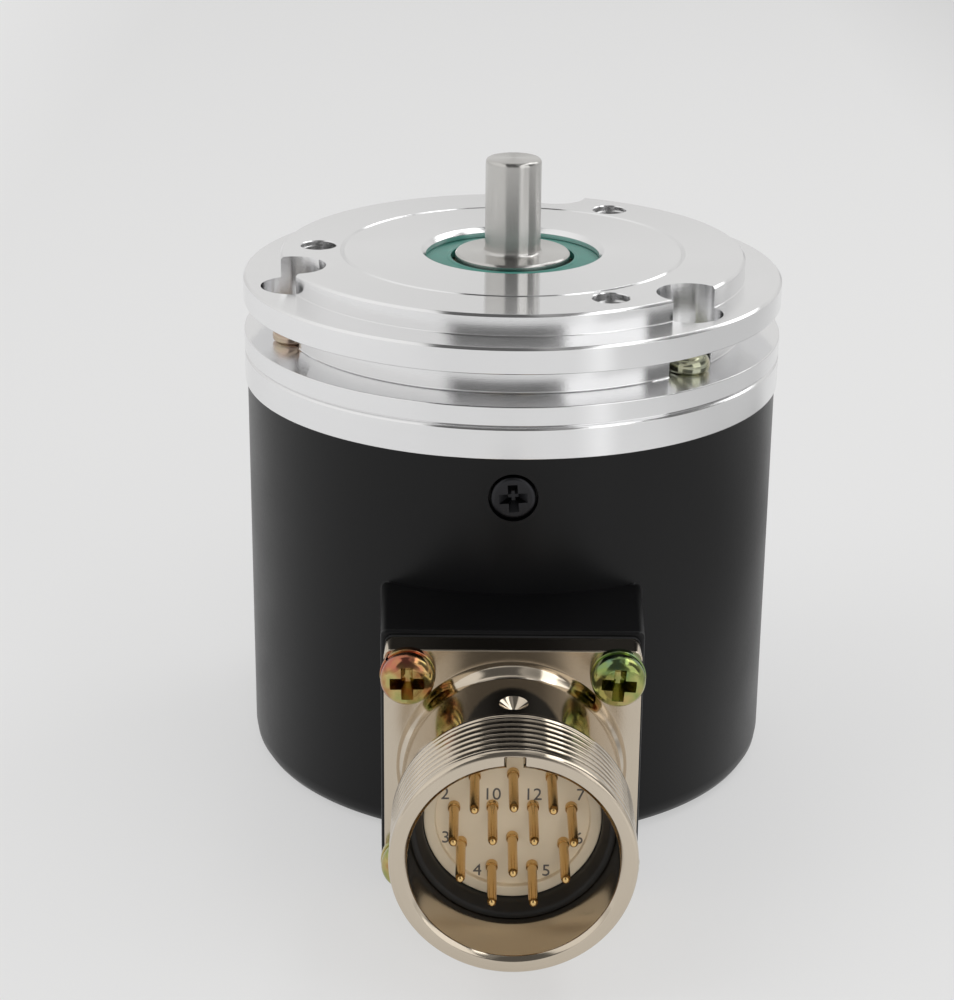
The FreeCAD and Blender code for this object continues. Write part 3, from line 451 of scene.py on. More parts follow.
# Tone and dark tone, roughness of walls and of faces, rings per metre and their depth in mm.
METALS = {
    "turned_aluminium": ((0.88, 0.88, 0.885), (0.80, 0.80, 0.805), 0.13, 0.15, 5200.0, 0.003),
    "stainless": ((0.66, 0.65, 0.63), (0.54, 0.53, 0.51), 0.22, 0.20, 9000.0, 0.001),
    # The tapped threads are rougher than the turned faces. Their darker tone is painted shade inside the
    # holes.
    "tapped_aluminium": (grey(0.70), grey(0.56), 0.26, 0.26, 5200.0, 0.003),
    "bearing_steel": ((0.66, 0.66, 0.67), (0.56, 0.56, 0.57), 0.14, 0.12, 7000.0, 0.0006),
    "spring_steel": ((0.20, 0.20, 0.21), (0.14, 0.14, 0.15), 0.40, 0.36, 3000.0, 0.0020),
    "black_steel": ((0.055, 0.055, 0.06), (0.030, 0.030, 0.032), 0.38, 0.34, 2600.0, 0.0020),
    "hub_brass": ((0.80, 0.62, 0.30), (0.68, 0.50, 0.22), 0.28, 0.22, 4200.0, 0.0016),
    "nickel_plate": ((0.67, 0.59, 0.48), (0.58, 0.50, 0.40), 0.09, 0.17, 4800.0, 0.0012),
    "gold_plate": ((0.83, 0.58, 0.26), (0.66, 0.42, 0.16), 0.24, 0.22, 3000.0, 0.0010),
    "can_aluminium": ((0.80, 0.80, 0.81), (0.70, 0.70, 0.71), 0.32, 0.30, 2400.0, 0.0020),
}


def yellow_chromate():
    """Zinc with a yellow film that drifts towards green and rose, full below the flange's screws."""
    made, place = new_finish("yellow_zinc", Metallic=1.0)
    across = place.add("ShaderNodeSeparateXYZ", {0: place})
    height = across.out(2)
    below = height.ramp(FLANGE_SCREWS_END * MM, PLATE_SCREWS_FROM * MM)
    tilt = (across * (height - UPPER_SCREWS_Z * MM) * TILT_STEEP).limited(-TILT_MOST, TILT_MOST)
    drift = (place.noise(DRIFT_PER_METRE) - 0.5) * DRIFT_WIDE + across * DRIFT_ACROSS * below + tilt
    fine = place.noise(DRIFT_FINE_PER_METRE, 3.0)
    share = FILM_MIDDLE + drift + (fine - 0.5) * DRIFT_FINE
    film = drift.add("ShaderNodeValToRGB", {0: share}, stops=FILM_TONES)
    color = (FILM_LEAST + below * (1 - FILM_LEAST)).blend(PALE_ZINC, film)
    return plug(made, color, 0.10 + fine * 0.10, fine, depth=0.004)


FINISH = {name: turned_metal(name, *row, **METAL_EXTRAS.get(name, {})) for name, row in METALS.items()}
FINISH["yellow_zinc"] = yellow_chromate()
print("metals:", ", ".join(FINISH))

# %% [markdown]
# The cover is die cast and coated in satin black. A thin coat has a tiny orange-peel that breaks up
# its reflections. The plastics and rubbers differ mostly in tone and gloss. The code disc is glass
# with a ring of fine chrome lines. It lies in a closed housing, so a pale glossy finish stands for the
# glass, and the lines are a mask on the angle round the shaft.

# %% Paint, plastics, rubber, glass and boards
CODE_LINES = 360.0
CODE_TRACK_R = 15.9
CODE_TRACK_HALF = 1.3
CLOUD_SHARE = 0.7
CLOUD_ROUGH, GRAIN_ROUGH = 0.12, 0.08
MOULDED_EXTRAS = {"black_paint": {"Specular_IOR_Level": 0.25}, "green_seal": {"clouds": 700.0}}
# Tone and dark tone, roughness, grain per metre and its depth in mm.
MOULDED = {
    "black_paint": ((0.0050, 0.0050, 0.0055), (0.0034, 0.0034, 0.0037), 0.34, 2600.0, 0.004),
    "black_rubber": (grey(0.016), grey(0.010), 0.55, 3200.0, 0.010),
    "green_seal": ((0.075, 0.36, 0.29), (0.006, 0.13, 0.105), 0.36, 2400.0, 0.012),
    "cream_polymer": ((0.93, 0.81, 0.62), (0.83, 0.71, 0.52), 0.42, 1800.0, 0.004),
    "black_polymer": ((0.022, 0.022, 0.023), (0.014, 0.014, 0.015), 0.45, 2600.0, 0.008),
    "cage_polymer": ((0.60, 0.54, 0.40), (0.52, 0.46, 0.33), 0.45, 2000.0, 0.006),
    "lamp_resin": ((0.78, 0.83, 0.88), (0.70, 0.75, 0.80), 0.10, 1200.0, 0.001),
    "chip_resin": ((0.035, 0.035, 0.036), (0.024, 0.024, 0.025), 0.50, 3600.0, 0.006),
    "ribbon_film": ((0.78, 0.77, 0.74), (0.66, 0.65, 0.62), 0.35, 1500.0, 0.004),
    "number_ink": ((0.16, 0.145, 0.135), (0.10, 0.09, 0.085), 0.55, 3000.0, 0.002),
}


def moulded(name, tone, dark, rough, grain, depth, clouds=120.0, **constants):
    """Plastic, rubber or paint with an even grain."""
    made, place = new_finish(name, **constants)
    specks = place.noise(grain, 3.0, 0.6)
    cloud = place.noise(clouds)
    color = (cloud * CLOUD_SHARE + specks * (1 - CLOUD_SHARE)).blend(dark, tone)
    roughness = rough + (cloud - 0.5) * CLOUD_ROUGH + (specks - 0.5) * GRAIN_ROUGH
    return plug(made, color, roughness, specks, depth)


def code_glass():
    """Pale glossy disc with a ring of chrome lines: metal where a wave round the axis is high."""
    made, place = new_finish("code_glass", IOR=1.5)
    x = place.add("ShaderNodeSeparateXYZ", {0: place})
    angle = x.sum("ARCTAN2", x.out(1), x)
    lines = x.sum("GREATER_THAN", x.sum("SINE", angle * CODE_LINES), 0.0)
    away = (x * x + x.out(1) * x.out(1)) ** 0.5
    chrome = lines * x.sum("COMPARE", away, CODE_TRACK_R * MM, CODE_TRACK_HALF * MM)
    tree = made.node_tree
    tree.links.new(chrome.socket, tree.nodes["Principled BSDF"].inputs["Metallic"])
    color = chrome.blend((0.72, 0.80, 0.80), (0.40, 0.40, 0.42))
    return plug(made, color, 0.06 + place.noise(300.0) * 0.05)


def laminate():
    """Green solder mask over copper tracks that stand up a little."""
    made, place = new_finish("board_laminate", Coat_Weight=0.4)
    tracks = place.add("ShaderNodeTexVoronoi", {"Vector": place, "Scale": 420.0}, distance="MANHATTAN")
    copper = tracks.sum("LESS_THAN", tracks, 0.30)
    weave = place.noise(2200.0)
    color = (copper * 0.7 + weave * 0.2).blend((0.015, 0.12, 0.04), (0.05, 0.27, 0.09))
    return plug(made, color, 0.34 + weave * 0.1, copper, depth=0.02, strength=0.6)


FINISH.update((name, moulded(name, *row, **MOULDED_EXTRAS.get(name, {}))) for name, row in MOULDED.items())
FINISH["code_glass"] = code_glass()
FINISH["board_laminate"] = laminate()
print("finishes in all:", len(FINISH))

# %% [markdown]
# ## Turning on the lathe
# Nearly every piece here is turned, so one helper does what a lathe does: it sweeps an outline of
# (radius, height) points round the axis. No real edge is sharp, and an edge without a small round
# shows no highlight, so the outline's corners are rounded first. A point may name its own round as a
# third number. Sizes of pieces are in mm from here on.

# %% Lathe and drill bits
EDGE = 0.12
ROUND_STEPS = 4
ROUND_MOST = 0.45
ON_AXIS = 1e-6


def rounded(outline, edge=EDGE):
    """Outline in mm with each corner replaced by a few points of a round."""
    soft = []
    count = len(outline)
    for number, point in enumerate(outline):
        here = Vector(point[:2])
        before = Vector(outline[number - 1][:2]) - here
        after = Vector(outline[(number + 1) % count][:2]) - here
        size = point[2] if len(point) > 2 else edge
        size = min(size, before.length * ROUND_MOST, after.length * ROUND_MOST)
        if here.x < ON_AXIS or size < ON_AXIS:
            soft.append(here)
            continue
        start = here + before.normalized() * size
        end = here + after.normalized() * size
        for step in range(ROUND_STEPS + 1):
            t = step / ROUND_STEPS
            soft.append(start * (1 - t) ** 2 + here * (2 * t * (1 - t)) + end * t ** 2)
    return soft


def closed_mesh(build):
    """Mesh from a bmesh, with doubles merged and faces turned outwards."""
    bmesh.ops.remove_doubles(build, verts=build.verts, dist=1e-8)
    bmesh.ops.recalc_face_normals(build, faces=build.faces)
    return mesh_of(build)


def lathe(outline, steps=192, edge=EDGE):
    """Closed mesh turned from an outline of (radius, height) points in mm."""
    build = bmesh.new()
    rings = []
    for radius, height in rounded(outline, edge):
        if radius < ON_AXIS:
            rings.append([build.verts.new((0, 0, height * MM))] * steps)
            continue
        turns = [tau * step / steps for step in range(steps)]
        rings.append([build.verts.new((radius * MM * cos(a), radius * MM * sin(a), height * MM))
                      for a in turns])
    for lower, upper in zip(rings, rings[1:] + rings[:1]):
        for step in range(steps):
            after = (step + 1) % steps
            corners = dict.fromkeys((lower[step], lower[after], upper[after], upper[step]))
            if len(corners) > 2:
                build.faces.new(corners)
    return closed_mesh(build)


def drill_bit(outline, steps=64):
    """Stepped or chamfered drill, turned from its outline and left with sharp edges."""
    return lathe(outline, steps, edge=0.0)


def straight_bit(radius, start, end, steps=32):
    return drill_bit([(0, start), (radius, start), (radius, end), (0, end)], steps)


print("a round has", ROUND_STEPS, "steps and is", EDGE, "mm unless a point names its own")

# %% Moving, joining and cutting
def spin(angle):
    return Matrix.Rotation(radians(angle), 4, "Z")


def shift(x=0.0, y=0.0, z=0.0):
    return Matrix.Translation((x * MM, y * MM, z * MM))


FORWARDS = Matrix.Rotation(radians(90), 4, "X")
OUTWARDS = Matrix.Rotation(radians(90), 4, "Y")
TO_CONNECTOR = shift(z=CONNECTOR_Z) @ FORWARDS


def moved(mesh, matrix):
    mesh.transform(matrix)
    return mesh


def around(mesh, first, place, count=3):
    """Copies of a mesh at a place, turned about the axis to a first angle and on in equal steps."""
    return [moved(mesh.copy(), spin(first + 360 / count * number) @ place) for number in range(count)]


def joined(*meshes):
    """One mesh of several, left as separate shells."""
    build = bmesh.new()
    for mesh in meshes:
        build.from_mesh(mesh)
    return mesh_of(build)


def plain(thing):
    """Replace an object's mesh by what its modifiers make of it."""
    ready = thing.evaluated_get(bpy.context.evaluated_depsgraph_get())
    mesh = bpy.data.meshes.new_from_object(ready)
    thing.modifiers.clear()
    thing.data = mesh
    return mesh


def combine(mesh, other, operation):
    """Boolean of two closed meshes."""
    thing = new_object("work", mesh)
    tool = new_object("tool", other)
    change = thing.modifiers.new("change", "BOOLEAN")
    change.operation = operation
    change.solver = "EXACT"
    change.object = tool
    bpy.context.view_layer.update()
    mesh = plain(thing)
    for part in (thing, tool):
        bpy.data.objects.remove(part)
    return mesh


print("connector's axis at height", CONNECTOR_Z, "mm")

# %% Seating a finished piece
CRISP = 32


def fit_out(name, mesh, body, slot, *nodes, finish=None, crisp=CRISP):
    """Give a mesh even shading and a finish, seat it on its body and let it stand for its solids."""
    mesh.name = name
    mesh.materials.clear()
    mesh.materials.append(FINISH[finish or slot])
    mesh.shade_smooth()
    mesh.set_sharp_from_angle(angle=radians(crisp))
    thing = new_object(name, mesh)
    shading = thing.modifiers.new("even_shading", "WEIGHTED_NORMAL")
    shading.keep_sharp = True
    bpy.context.view_layer.update()
    plain(thing)
    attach(thing, body)
    if nodes:
        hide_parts(*nodes)
    print(name, len(thing.data.polygons), "faces for", ", ".join(nodes) or "no solid")
    return thing


print("edges over", CRISP, "degrees stay sharp")

# %% [markdown]
# ## Copies on a circle
# Screws and contacts sit on circles, so one Geometry Nodes tree places them: it makes points on a
# circle, turns a copy of the object's own mesh to face along the radius at each point, and can spin
# each copy about its own axis, because no fitter leaves three slots at the same angle. The tree ends
# in Realize Instances, so what it makes is plain mesh.

# %% Geometry Nodes tree for copies on a circle
def new_tree(name, **inputs):
    """Empty tree with a geometry input and output, and named inputs by socket type."""
    tree = bpy.data.node_groups.new(name, "GeometryNodeTree")
    tree.interface.new_socket("Geometry", in_out="INPUT", socket_type="NodeSocketGeometry")
    tree.interface.new_socket("Geometry", in_out="OUTPUT", socket_type="NodeSocketGeometry")
    for label, kind in inputs.items():
        tree.interface.new_socket(label.replace("_", " "), in_out="INPUT", socket_type="NodeSocket" + kind)
    return tree, Wire(tree).add("NodeGroupInput", output="Geometry")


def end_tree(shape, finish):
    """Realize, set the material and lead to the tree's output."""
    real = shape.add("GeometryNodeRealizeInstances", {"Geometry": shape})
    painted = real.add("GeometryNodeSetMaterial", {"Geometry": real, "Material": finish})
    last = painted.tree.nodes.new("NodeGroupOutput")
    painted.tree.links.new(painted.socket, last.inputs[0])
    return painted.tree


def circle_tree():
    tree, start = new_tree("copies_on_a_circle", Count="Int", Radius="Float", First_Angle="Float",
                           Angle_Step="Float", Axial_Spin="Float", Seed="Int", Finish="Material")
    number = start.add("GeometryNodeInputIndex")
    angle = start.out("First Angle") + number * start.out("Angle Step")
    spot = start.add("ShaderNodeCombineXYZ", {0: start.out("Radius") * angle.sum("COSINE", angle),
                                              1: start.out("Radius") * angle.sum("SINE", angle)})
    points = start.add("GeometryNodePoints", {"Count": start.out("Count"), "Position": spot})
    turn = start.add("ShaderNodeCombineXYZ", {2: angle})
    sockets = {"Points": points, "Instance": start, "Rotation": turn}
    placed = start.add("GeometryNodeInstanceOnPoints", sockets)
    sockets = {2: 0.0, 3: tau, "ID": number, "Seed": start.out("Seed")}
    loose = start.add("FunctionNodeRandomValue", sockets, output=1, data_type="FLOAT")
    own = start.add("ShaderNodeCombineXYZ", {2: loose * start.out("Axial Spin")})
    sockets = {"Instances": placed, "Rotation": own, "Local Space": True}
    return end_tree(start.add("GeometryNodeRotateInstances", sockets), start.out("Finish"))


copies_on_a_circle = circle_tree()


def run_tree(mesh, tree, **values):
    """Mesh that a tree makes of a mesh, with its inputs set by their sockets' identifiers."""
    thing = new_object("work", mesh)
    steps = thing.modifiers.new("steps", "NODES")
    steps.node_group = tree
    for item in tree.interface.items_tree:
        if item.in_out == "INPUT" and item.name.replace(" ", "_") in values:
            steps[item.identifier] = values[item.name.replace(" ", "_")]
    bpy.context.view_layer.update()
    made = plain(thing)
    bpy.data.objects.remove(thing)
    return made


def copies(mesh, count, radius, first, finish, step=None, seed=0):
    """Copies from a first angle on, at equal steps unless one is given. A seed spins each by chance."""
    return run_tree(mesh, copies_on_a_circle, Count=count, Radius=radius * MM,
                    First_Angle=radians(first), Angle_Step=radians(step or 360 / count),
                    Axial_Spin=1.0 if seed else 0.0, Seed=seed, Finish=FINISH[finish])


print("tree inputs:", [item.name for item in copies_on_a_circle.interface.items_tree])

# %% [markdown]
# ## Threads
# A thread is a ridge that climbs round a cylinder. A spiral curve with a small four-sided profile
# swept along it gives exactly that, and rounding the profile's corners gives the worn crest that
# catches light. The profile has one width on its outer side and one on its inner side, so the same
# tree cuts a bolt's ridge and a nut's. Both ends shrink, as where a cutting tool runs out.

# %% Geometry Nodes tree for a thread
STEPS_A_TURN = 96
WORN_SHARE = 0.25
RUN_OUT = 3.0
THINNEST = 0.05


def thread_tree():
    tree, start = new_tree("thread_ridge", Radius="Float", Pitch="Float", Turns="Float", Tooth="Float",
                           Outer_Width="Float", Inner_Width="Float", Finish="Material")
    radius, turns, height = start.out("Radius"), start.out("Turns"), start.out("Tooth")
    sockets = {"Resolution": STEPS_A_TURN, "Rotations": turns, "Start Radius": radius, "End Radius": radius,
               "Height": turns * start.out("Pitch")}
    path = start.add("GeometryNodeCurveSpiral", sockets)
    level = start.add("GeometryNodeSetCurveNormal", {"Curve": path}, mode="Z_UP")
    sockets = {"Height": height, "Top Width": start.out("Outer Width"),
               "Bottom Width": start.out("Inner Width"), "Offset": 0.0}
    flat = start.add("GeometryNodeCurvePrimitiveQuadrilateral", sockets, mode="TRAPEZOID")
    tooth = start.add("GeometryNodeTransform", {"Geometry": flat, "Rotation": (0.0, 0.0, pi / 2)})
    sockets = {"Curve": tooth, "Count": 2, "Radius": height * WORN_SHARE}
    worn = start.add("GeometryNodeFilletCurve", sockets, mode="POLY")
    along = start.add("GeometryNodeSplineParameter")
    near_end = along.sum("MINIMUM", along, 1 - along) * turns * RUN_OUT
    sockets = {"Curve": level, "Profile Curve": worn, "Scale": near_end.limited(THINNEST, 1.0),
               "Fill Caps": True}
    ridge = start.add("GeometryNodeCurveToMesh", sockets)
    smooth = start.add("GeometryNodeSetShadeSmooth", {"Geometry": ridge})
    return end_tree(smooth, start.out("Finish"))


thread_ridge = thread_tree()


def thread(radius, pitch, turns, tooth, outer, inner, finish):
    """Ridge with its middle at a radius, its height and its two widths in mm, starting at height 0."""
    empty = bpy.data.meshes.new("thread")
    return run_tree(empty, thread_ridge, Radius=radius * MM, Pitch=pitch * MM, Turns=turns, Tooth=tooth * MM,
                    Outer_Width=outer * MM, Inner_Width=inner * MM, Finish=FINISH[finish])


print("thread inputs:", [item.name for item in thread_ridge.interface.items_tree])

# %% [markdown]
# ## Flange and base ring
# The flange is one turning: a centring collar with a fine turned line, a rim, a clamping groove, a foot
# and the tube that holds the bearings. Its holes are drilled afterwards, so they are cut from the
# turned shape as on the real one. Three threaded holes take the mounting screws. Three wide ones run
# down past the rim, so that a driver can reach the screws that hold the flange to the base ring.

# %% Flange
CHAMFER = 0.25
COLLAR_R = 25.0
RIM_R, RIM_TOP, RIM_BOTTOM = 29.0, -2.2, -4.9
GROOVE_R, GROOVE_BOTTOM = 24.8, -8.2
FOOT_BOTTOM = -10.4
TAP_R, TAP_DEPTH, TAP_CIRCLE, TAP_ANGLE = 1.9, 6.4, 21.0, 177.5
ACCESS_R, ACCESS_CIRCLE, ACCESS_ANGLE = 3.45, 24.25, -42.5
SCREW_HOLE_R = 1.3


def make_flange():
    opening = [(9.35, -0.5), (9.85, 0.0)]
    turned_line = [(18.1, 0.0), (18.35, -0.3), (18.6, 0.0)]
    collar = [(COLLAR_R - CHAMFER, 0.0), (COLLAR_R, -CHAMFER), (COLLAR_R, RIM_TOP, 0.10)]
    rim = [(RIM_R - CHAMFER, RIM_TOP), (RIM_R, RIM_TOP - CHAMFER), (RIM_R, RIM_BOTTOM, 0.14)]
    groove = [(GROOVE_R, RIM_BOTTOM, 0.12), (GROOVE_R, GROOVE_BOTTOM, 0.2), (RIM_R, GROOVE_BOTTOM, 0.14)]
    foot = [(RIM_R, FOOT_BOTTOM + CHAMFER), (RIM_R - CHAMFER, FOOT_BOTTOM), (12.3, FOOT_BOTTOM)]
    tube = [(12.3, -22.2), (11.0, -22.2), (11.0, -21.1), (11.5, -21.1), (11.5, -20.1), (11.0, -20.1)]
    bearing_stop = [(11.0, -1.0), (9.35, -1.0)]
    outline = opening + turned_line + collar + rim + groove + foot + tube + bearing_stop
    body = lathe(outline, steps=256, edge=0.03)
    tap = drill_bit([(0, 0.5), (2.5, 0.5), (TAP_R, -0.1), (TAP_R, -TAP_DEPTH), (0, -7.0)])
    access = drill_bit([(0, 1.0), (ACCESS_R, 1.0), (ACCESS_R, GROOVE_BOTTOM), (SCREW_HOLE_R, GROOVE_BOTTOM),
                        (SCREW_HOLE_R, -11.0), (0, -11.0)], 96)
    bits = around(tap, TAP_ANGLE, shift(TAP_CIRCLE)) + around(access, ACCESS_ANGLE, shift(ACCESS_CIRCLE))
    return combine(body, joined(*bits), "DIFFERENCE")


def make_flange_threads():
    # The threads' darker finish is painted shade inside the tapped holes.
    ridge = thread(1.78, pitch=0.7, turns=8.3, tooth=0.26, outer=0.62, inner=0.20, finish="tapped_aluminium")
    return joined(*around(ridge, TAP_ANGLE, shift(TAP_CIRCLE, z=-6.3)))


fit_out("clamping_flange", make_flange(), "housing", "turned_aluminium", "flange")
fit_out("flange_threads", make_flange_threads(), "housing", "turned_aluminium", finish="tapped_aluminium")

# %% Base ring
COVER_TOP = -13.7
COVER_SCREWS_Z, COVER_SCREWS_ANGLE = -17.8, -90


def make_base_ring():
    edge = [(RIM_R - CHAMFER, FOOT_BOTTOM, 0.03), (RIM_R, FOOT_BOTTOM - CHAMFER, 0.03),
            (RIM_R, COVER_TOP, 0.10)]
    spigot = [(26.2, COVER_TOP), (26.2, -20.7), (24.75, -20.7), (24.75, -22.1), (26.2, -22.1), (26.2, -22.7)]
    inside = [(22.5, -22.7), (22.5, -14.4), (12.35, -14.4)]
    ring = lathe([(12.35, FOOT_BOTTOM), *edge, *spigot, *inside], steps=256)
    axial = straight_bit(SCREW_HOLE_R, -10.0, -16.3)
    radial = straight_bit(SCREW_HOLE_R, 22.0, 27.0)
    bits = around(axial, ACCESS_ANGLE, shift(ACCESS_CIRCLE))
    bits += around(radial, COVER_SCREWS_ANGLE, shift(z=COVER_SCREWS_Z) @ OUTWARDS)
    return combine(ring, joined(*bits), "DIFFERENCE")


fit_out("spigot_ring", make_base_ring(), "housing", "turned_aluminium", "base_ring")

# %% [markdown]
# ## Shaft and front seal
# The shaft is a plain ground pin with a broken edge and a shoulder that shows as a bright disc in the
# middle of the green seal. A seal is moulded rubber, so it has a lip and a shallow ring. The bearing's
# other seal is the same piece turned over.

# %% Shaft and seals
BEARING_MIDDLE = -4.5


def make_shaft():
    pin = [(0, 10.0), (3.0, 10.0, 0.55), (3.0, -0.2, 0.5)]
    shoulder = [(6.0, -0.2), (6.2, -0.4), (6.2, -1.0), (4.0, -1.0)]
    clip_groove = [(4.0, -19.4), (3.6, -19.4), (3.6, -20.2), (4.0, -20.2)]
    tail = [(4.0, -21.6), (3.0, -21.6), (3.0, -29.0, 0.4), (0, -29.0)]
    return lathe(pin + shoulder + clip_groove + tail, steps=160, edge=0.06)


def make_seals():
    lip = [(6.65, -0.7, 0.06), (6.95, -0.7, 0.15), (7.15, -0.8, 0.05), (8.7, -0.98, 0.05)]
    ring = [(9.0, -1.05), (9.6, -1.05), (9.6, -1.55), (6.65, -1.55)]
    front = lathe(lip + ring, steps=160, edge=0.04)
    turned_over = [(radius, 2 * BEARING_MIDDLE - height, *edge) for radius, height, *edge in lip + ring]
    return joined(front, lathe(turned_over, steps=96, edge=0.04))


fit_out("ground_shaft", make_shaft(), "rotor", "stainless", "shaft")
fit_out("green_seals", make_seals(), "housing", "green_seal", "front_bearing_seals")

# %% [markdown]
# ## Black cover
# The cover is a casting: a cup with a square block for the connector growing out of its side. A block
# is lofted from rounded squares, with a little draft so that it would leave its mould, and joined to
# the cup. Castings have no sharp inside corners, so a thin strip of fillet follows the line where the
# block meets the cup. The cavity, the connector's bore and the screw seats are cut last.

# %% Rounded squares and lofts
def square_ring(half, corner, count=8):
    """Points of a rounded square, counter-clockwise, in mm."""
    points = []
    for quarter in range(4):
        diagonal = radians(90 * quarter + 45)
        x = copysign(half - corner, cos(diagonal))
        y = copysign(half - corner, sin(diagonal))
        for step in range(count + 1):
            angle = radians(90 * (quarter + step / count))
            points.append((x + corner * cos(angle), y + corner * sin(angle)))
    return points


def loft(sections):
    """Closed solid through rings of equal length, each given as (points, height) in mm."""
    build = bmesh.new()
    rings = []
    for points, height in sections:
        rings.append([build.verts.new((x * MM, y * MM, height * MM)) for x, y in points])
    for lower, upper in zip(rings, rings[1:]):
        for number, corner in enumerate(lower):
            build.faces.new((lower[number - 1], corner, upper[number], upper[number - 1]))
    build.faces.new(rings[0])
    build.faces.new(rings[-1])
    return closed_mesh(build)


def rounded_block(half, corner, back, front, edge, draft=0.0):
    """Rounded square bar along Z with a softened front edge."""
    sections = [(square_ring(half + (front - back) * draft, corner), back)]
    for step in range(ROUND_STEPS + 1):
        angle = radians(90 * step / ROUND_STEPS)
        inset = edge * (1 - cos(angle))
        outline = square_ring(half - inset, max(corner - inset, 0.05))
        sections.append((outline, front - edge + edge * sin(angle)))
    return loft(sections)


print("a rounded square has", len(square_ring(1.0, 0.1)), "points")

# %% Cover
COVER_R, COVER_BOTTOM, COVER_ROUND = 28.75, -56.65, 2.4
CAVITY_R, CAVITY_END = 26.25, -54.45
BLOCK_HALF, BLOCK_CORNER, BLOCK_EDGE = 12.95, 0.7, 0.35
BLOCK_BACK, BLOCK_FRONT = 14.0, 37.36
BLOCK_BORE = 10.0
DRAFT = tan(radians(1.5))
FILLET, FILLET_STEPS = 0.45, 6
FILLET_SINK, FILLET_ROOT = 0.02, 0.6
SEAT_R, SEAT_AWAY = 2.5, 27.25


def cover_fillet():
    """Concave strip along the line where the block's sides leave the cup."""
    root = square_ring(BLOCK_HALF + (BLOCK_FRONT - COVER_R) * DRAFT, BLOCK_CORNER)
    build = bmesh.new()
    rows = []
    for number, (x, y) in enumerate(root):
        ahead = Vector(root[(number + 1) % len(root)]) - Vector(root[number - 1])
        out = Vector((ahead.y, -ahead.x)).normalized()
        depth = sqrt(COVER_R ** 2 - x ** 2)
        wall_x, wall_y = x + out.x * FILLET, y + out.y * FILLET
        start = Vector((wall_x, wall_y, sqrt(COVER_R ** 2 - wall_x ** 2) - FILLET_SINK))
        corner = Vector((x, y, depth))
        top = Vector((x - out.x * FILLET_SINK, y - out.y * FILLET_SINK, depth + FILLET))
        inside = Vector((x - out.x * FILLET_ROOT, y - out.y * FILLET_ROOT, depth - FILLET_ROOT))
        row = [start * (1 - t) ** 2 + corner * (2 * t * (1 - t)) + top * t ** 2
               for t in (step / FILLET_STEPS for step in range(FILLET_STEPS + 1))]
        rows.append([build.verts.new(point * MM) for point in row + [inside]])
    for number, row in enumerate(rows):
        last = rows[number - 1]
        for place in range(len(row)):
            build.faces.new((last[place - 1], last[place], row[place], row[place - 1]))
    return closed_mesh(build)


def make_cover():
    cup = lathe([(0, COVER_BOTTOM), (COVER_R, COVER_BOTTOM, COVER_ROUND), (COVER_R, COVER_TOP, 0.15),
                 (0, COVER_TOP)], steps=256)
    block = rounded_block(BLOCK_HALF, BLOCK_CORNER, BLOCK_BACK, BLOCK_FRONT, BLOCK_EDGE, DRAFT)
    cup = combine(cup, moved(block, TO_CONNECTOR), "UNION")
    cup = combine(cup, moved(cover_fillet(), TO_CONNECTOR), "UNION")
    cup = combine(cup, straight_bit(CAVITY_R, -13.0, CAVITY_END, 192), "DIFFERENCE")
    seat = drill_bit([(0, 30.0), (SEAT_R, 30.0), (SEAT_R, SEAT_AWAY), (SCREW_HOLE_R, SEAT_AWAY),
                      (SCREW_HOLE_R, 25.0), (0, 25.0)])
    bits = around(seat, COVER_SCREWS_ANGLE, shift(z=COVER_SCREWS_Z) @ OUTWARDS)
    bits.append(moved(straight_bit(BLOCK_BORE, 22.5, 38.0, 96), TO_CONNECTOR))
    return combine(cup, joined(*bits), "DIFFERENCE")


fit_out("black_cover", make_cover(), "housing", "black_paint", "cover")

# %% [markdown]
# ## Screws
# All visible screws are pan heads with a cross slot. One head is turned, its slot is cut with a
# tapered cross, and the tree from before sets the copies on their circles. The yellow screws and their
# spring washers are each spun by chance. The black ones in the cover all stand nearly upright.

# %% Screw and washer shapes
HEAD_FOOT, HEAD_UNDERCUT = 0.28, 0.3
SLOT_REACH, SLOT_WING, SLOT_TAPER = 0.64, 0.22, 0.35


def cross_bit(reach, wing, top, depth):
    """Tapered cross that cuts a driver slot down from a height."""
    arms = [(wing, wing), (wing, reach), (-wing, reach), (-wing, wing), (-reach, wing), (-reach, -wing),
            (-wing, -wing), (-wing, -reach), (wing, -reach), (wing, -wing), (reach, -wing), (reach, wing)]
    heights = ((SLOT_TAPER, top - depth), (1.0, top), (1.06, top + 0.4))
    return loft([([(x * scale, y * scale) for x, y in arms], height) for scale, height in heights])


def pan_screw(head_r, head_height, shank_r, length, dome=1.0, slot_share=0.95):
    """Pan-head screw along Z, seat at height 0. A dome of 0 would be a flat-topped head."""
    crown_r = head_r * (1 - 0.38 * dome)
    brow_r, brow = head_r * (1 - 0.14 * dome), head_height * (1 - 0.12 * dome)
    cheek = head_height * (1 - 0.45 * dome)
    body = lathe([(0, head_height), (crown_r, head_height, 0.1), (brow_r, brow, 0.3), (head_r, cheek, 0.4),
                  (head_r, HEAD_FOOT, 0.1), (head_r - HEAD_UNDERCUT, 0.0, 0.05), (shank_r, 0.0),
                  (shank_r, -length, 0.3), (0, -length)], steps=64)
    slot = cross_bit(head_r * SLOT_REACH, head_r * SLOT_WING, head_height, head_height * slot_share)
    return combine(body, slot, "DIFFERENCE")


def spring_washer(inner_r, outer_r, thick):
    """Flat ring with the slanted split of a spring washer, lying on height 0."""
    ring = lathe([(inner_r, 0), (outer_r, 0, 0.1), (outer_r, thick, 0.1), (inner_r, thick)], steps=96)
    split = rounded_block(outer_r - inner_r, 0.1, -0.15, 0.15, 0.05)
    upright = Matrix.Rotation(radians(62), 4, "X")
    return combine(ring, moved(split, shift(outer_r, z=thick / 2) @ upright), "DIFFERENCE")


print("slot reach:", SLOT_REACH, "of the head's radius")

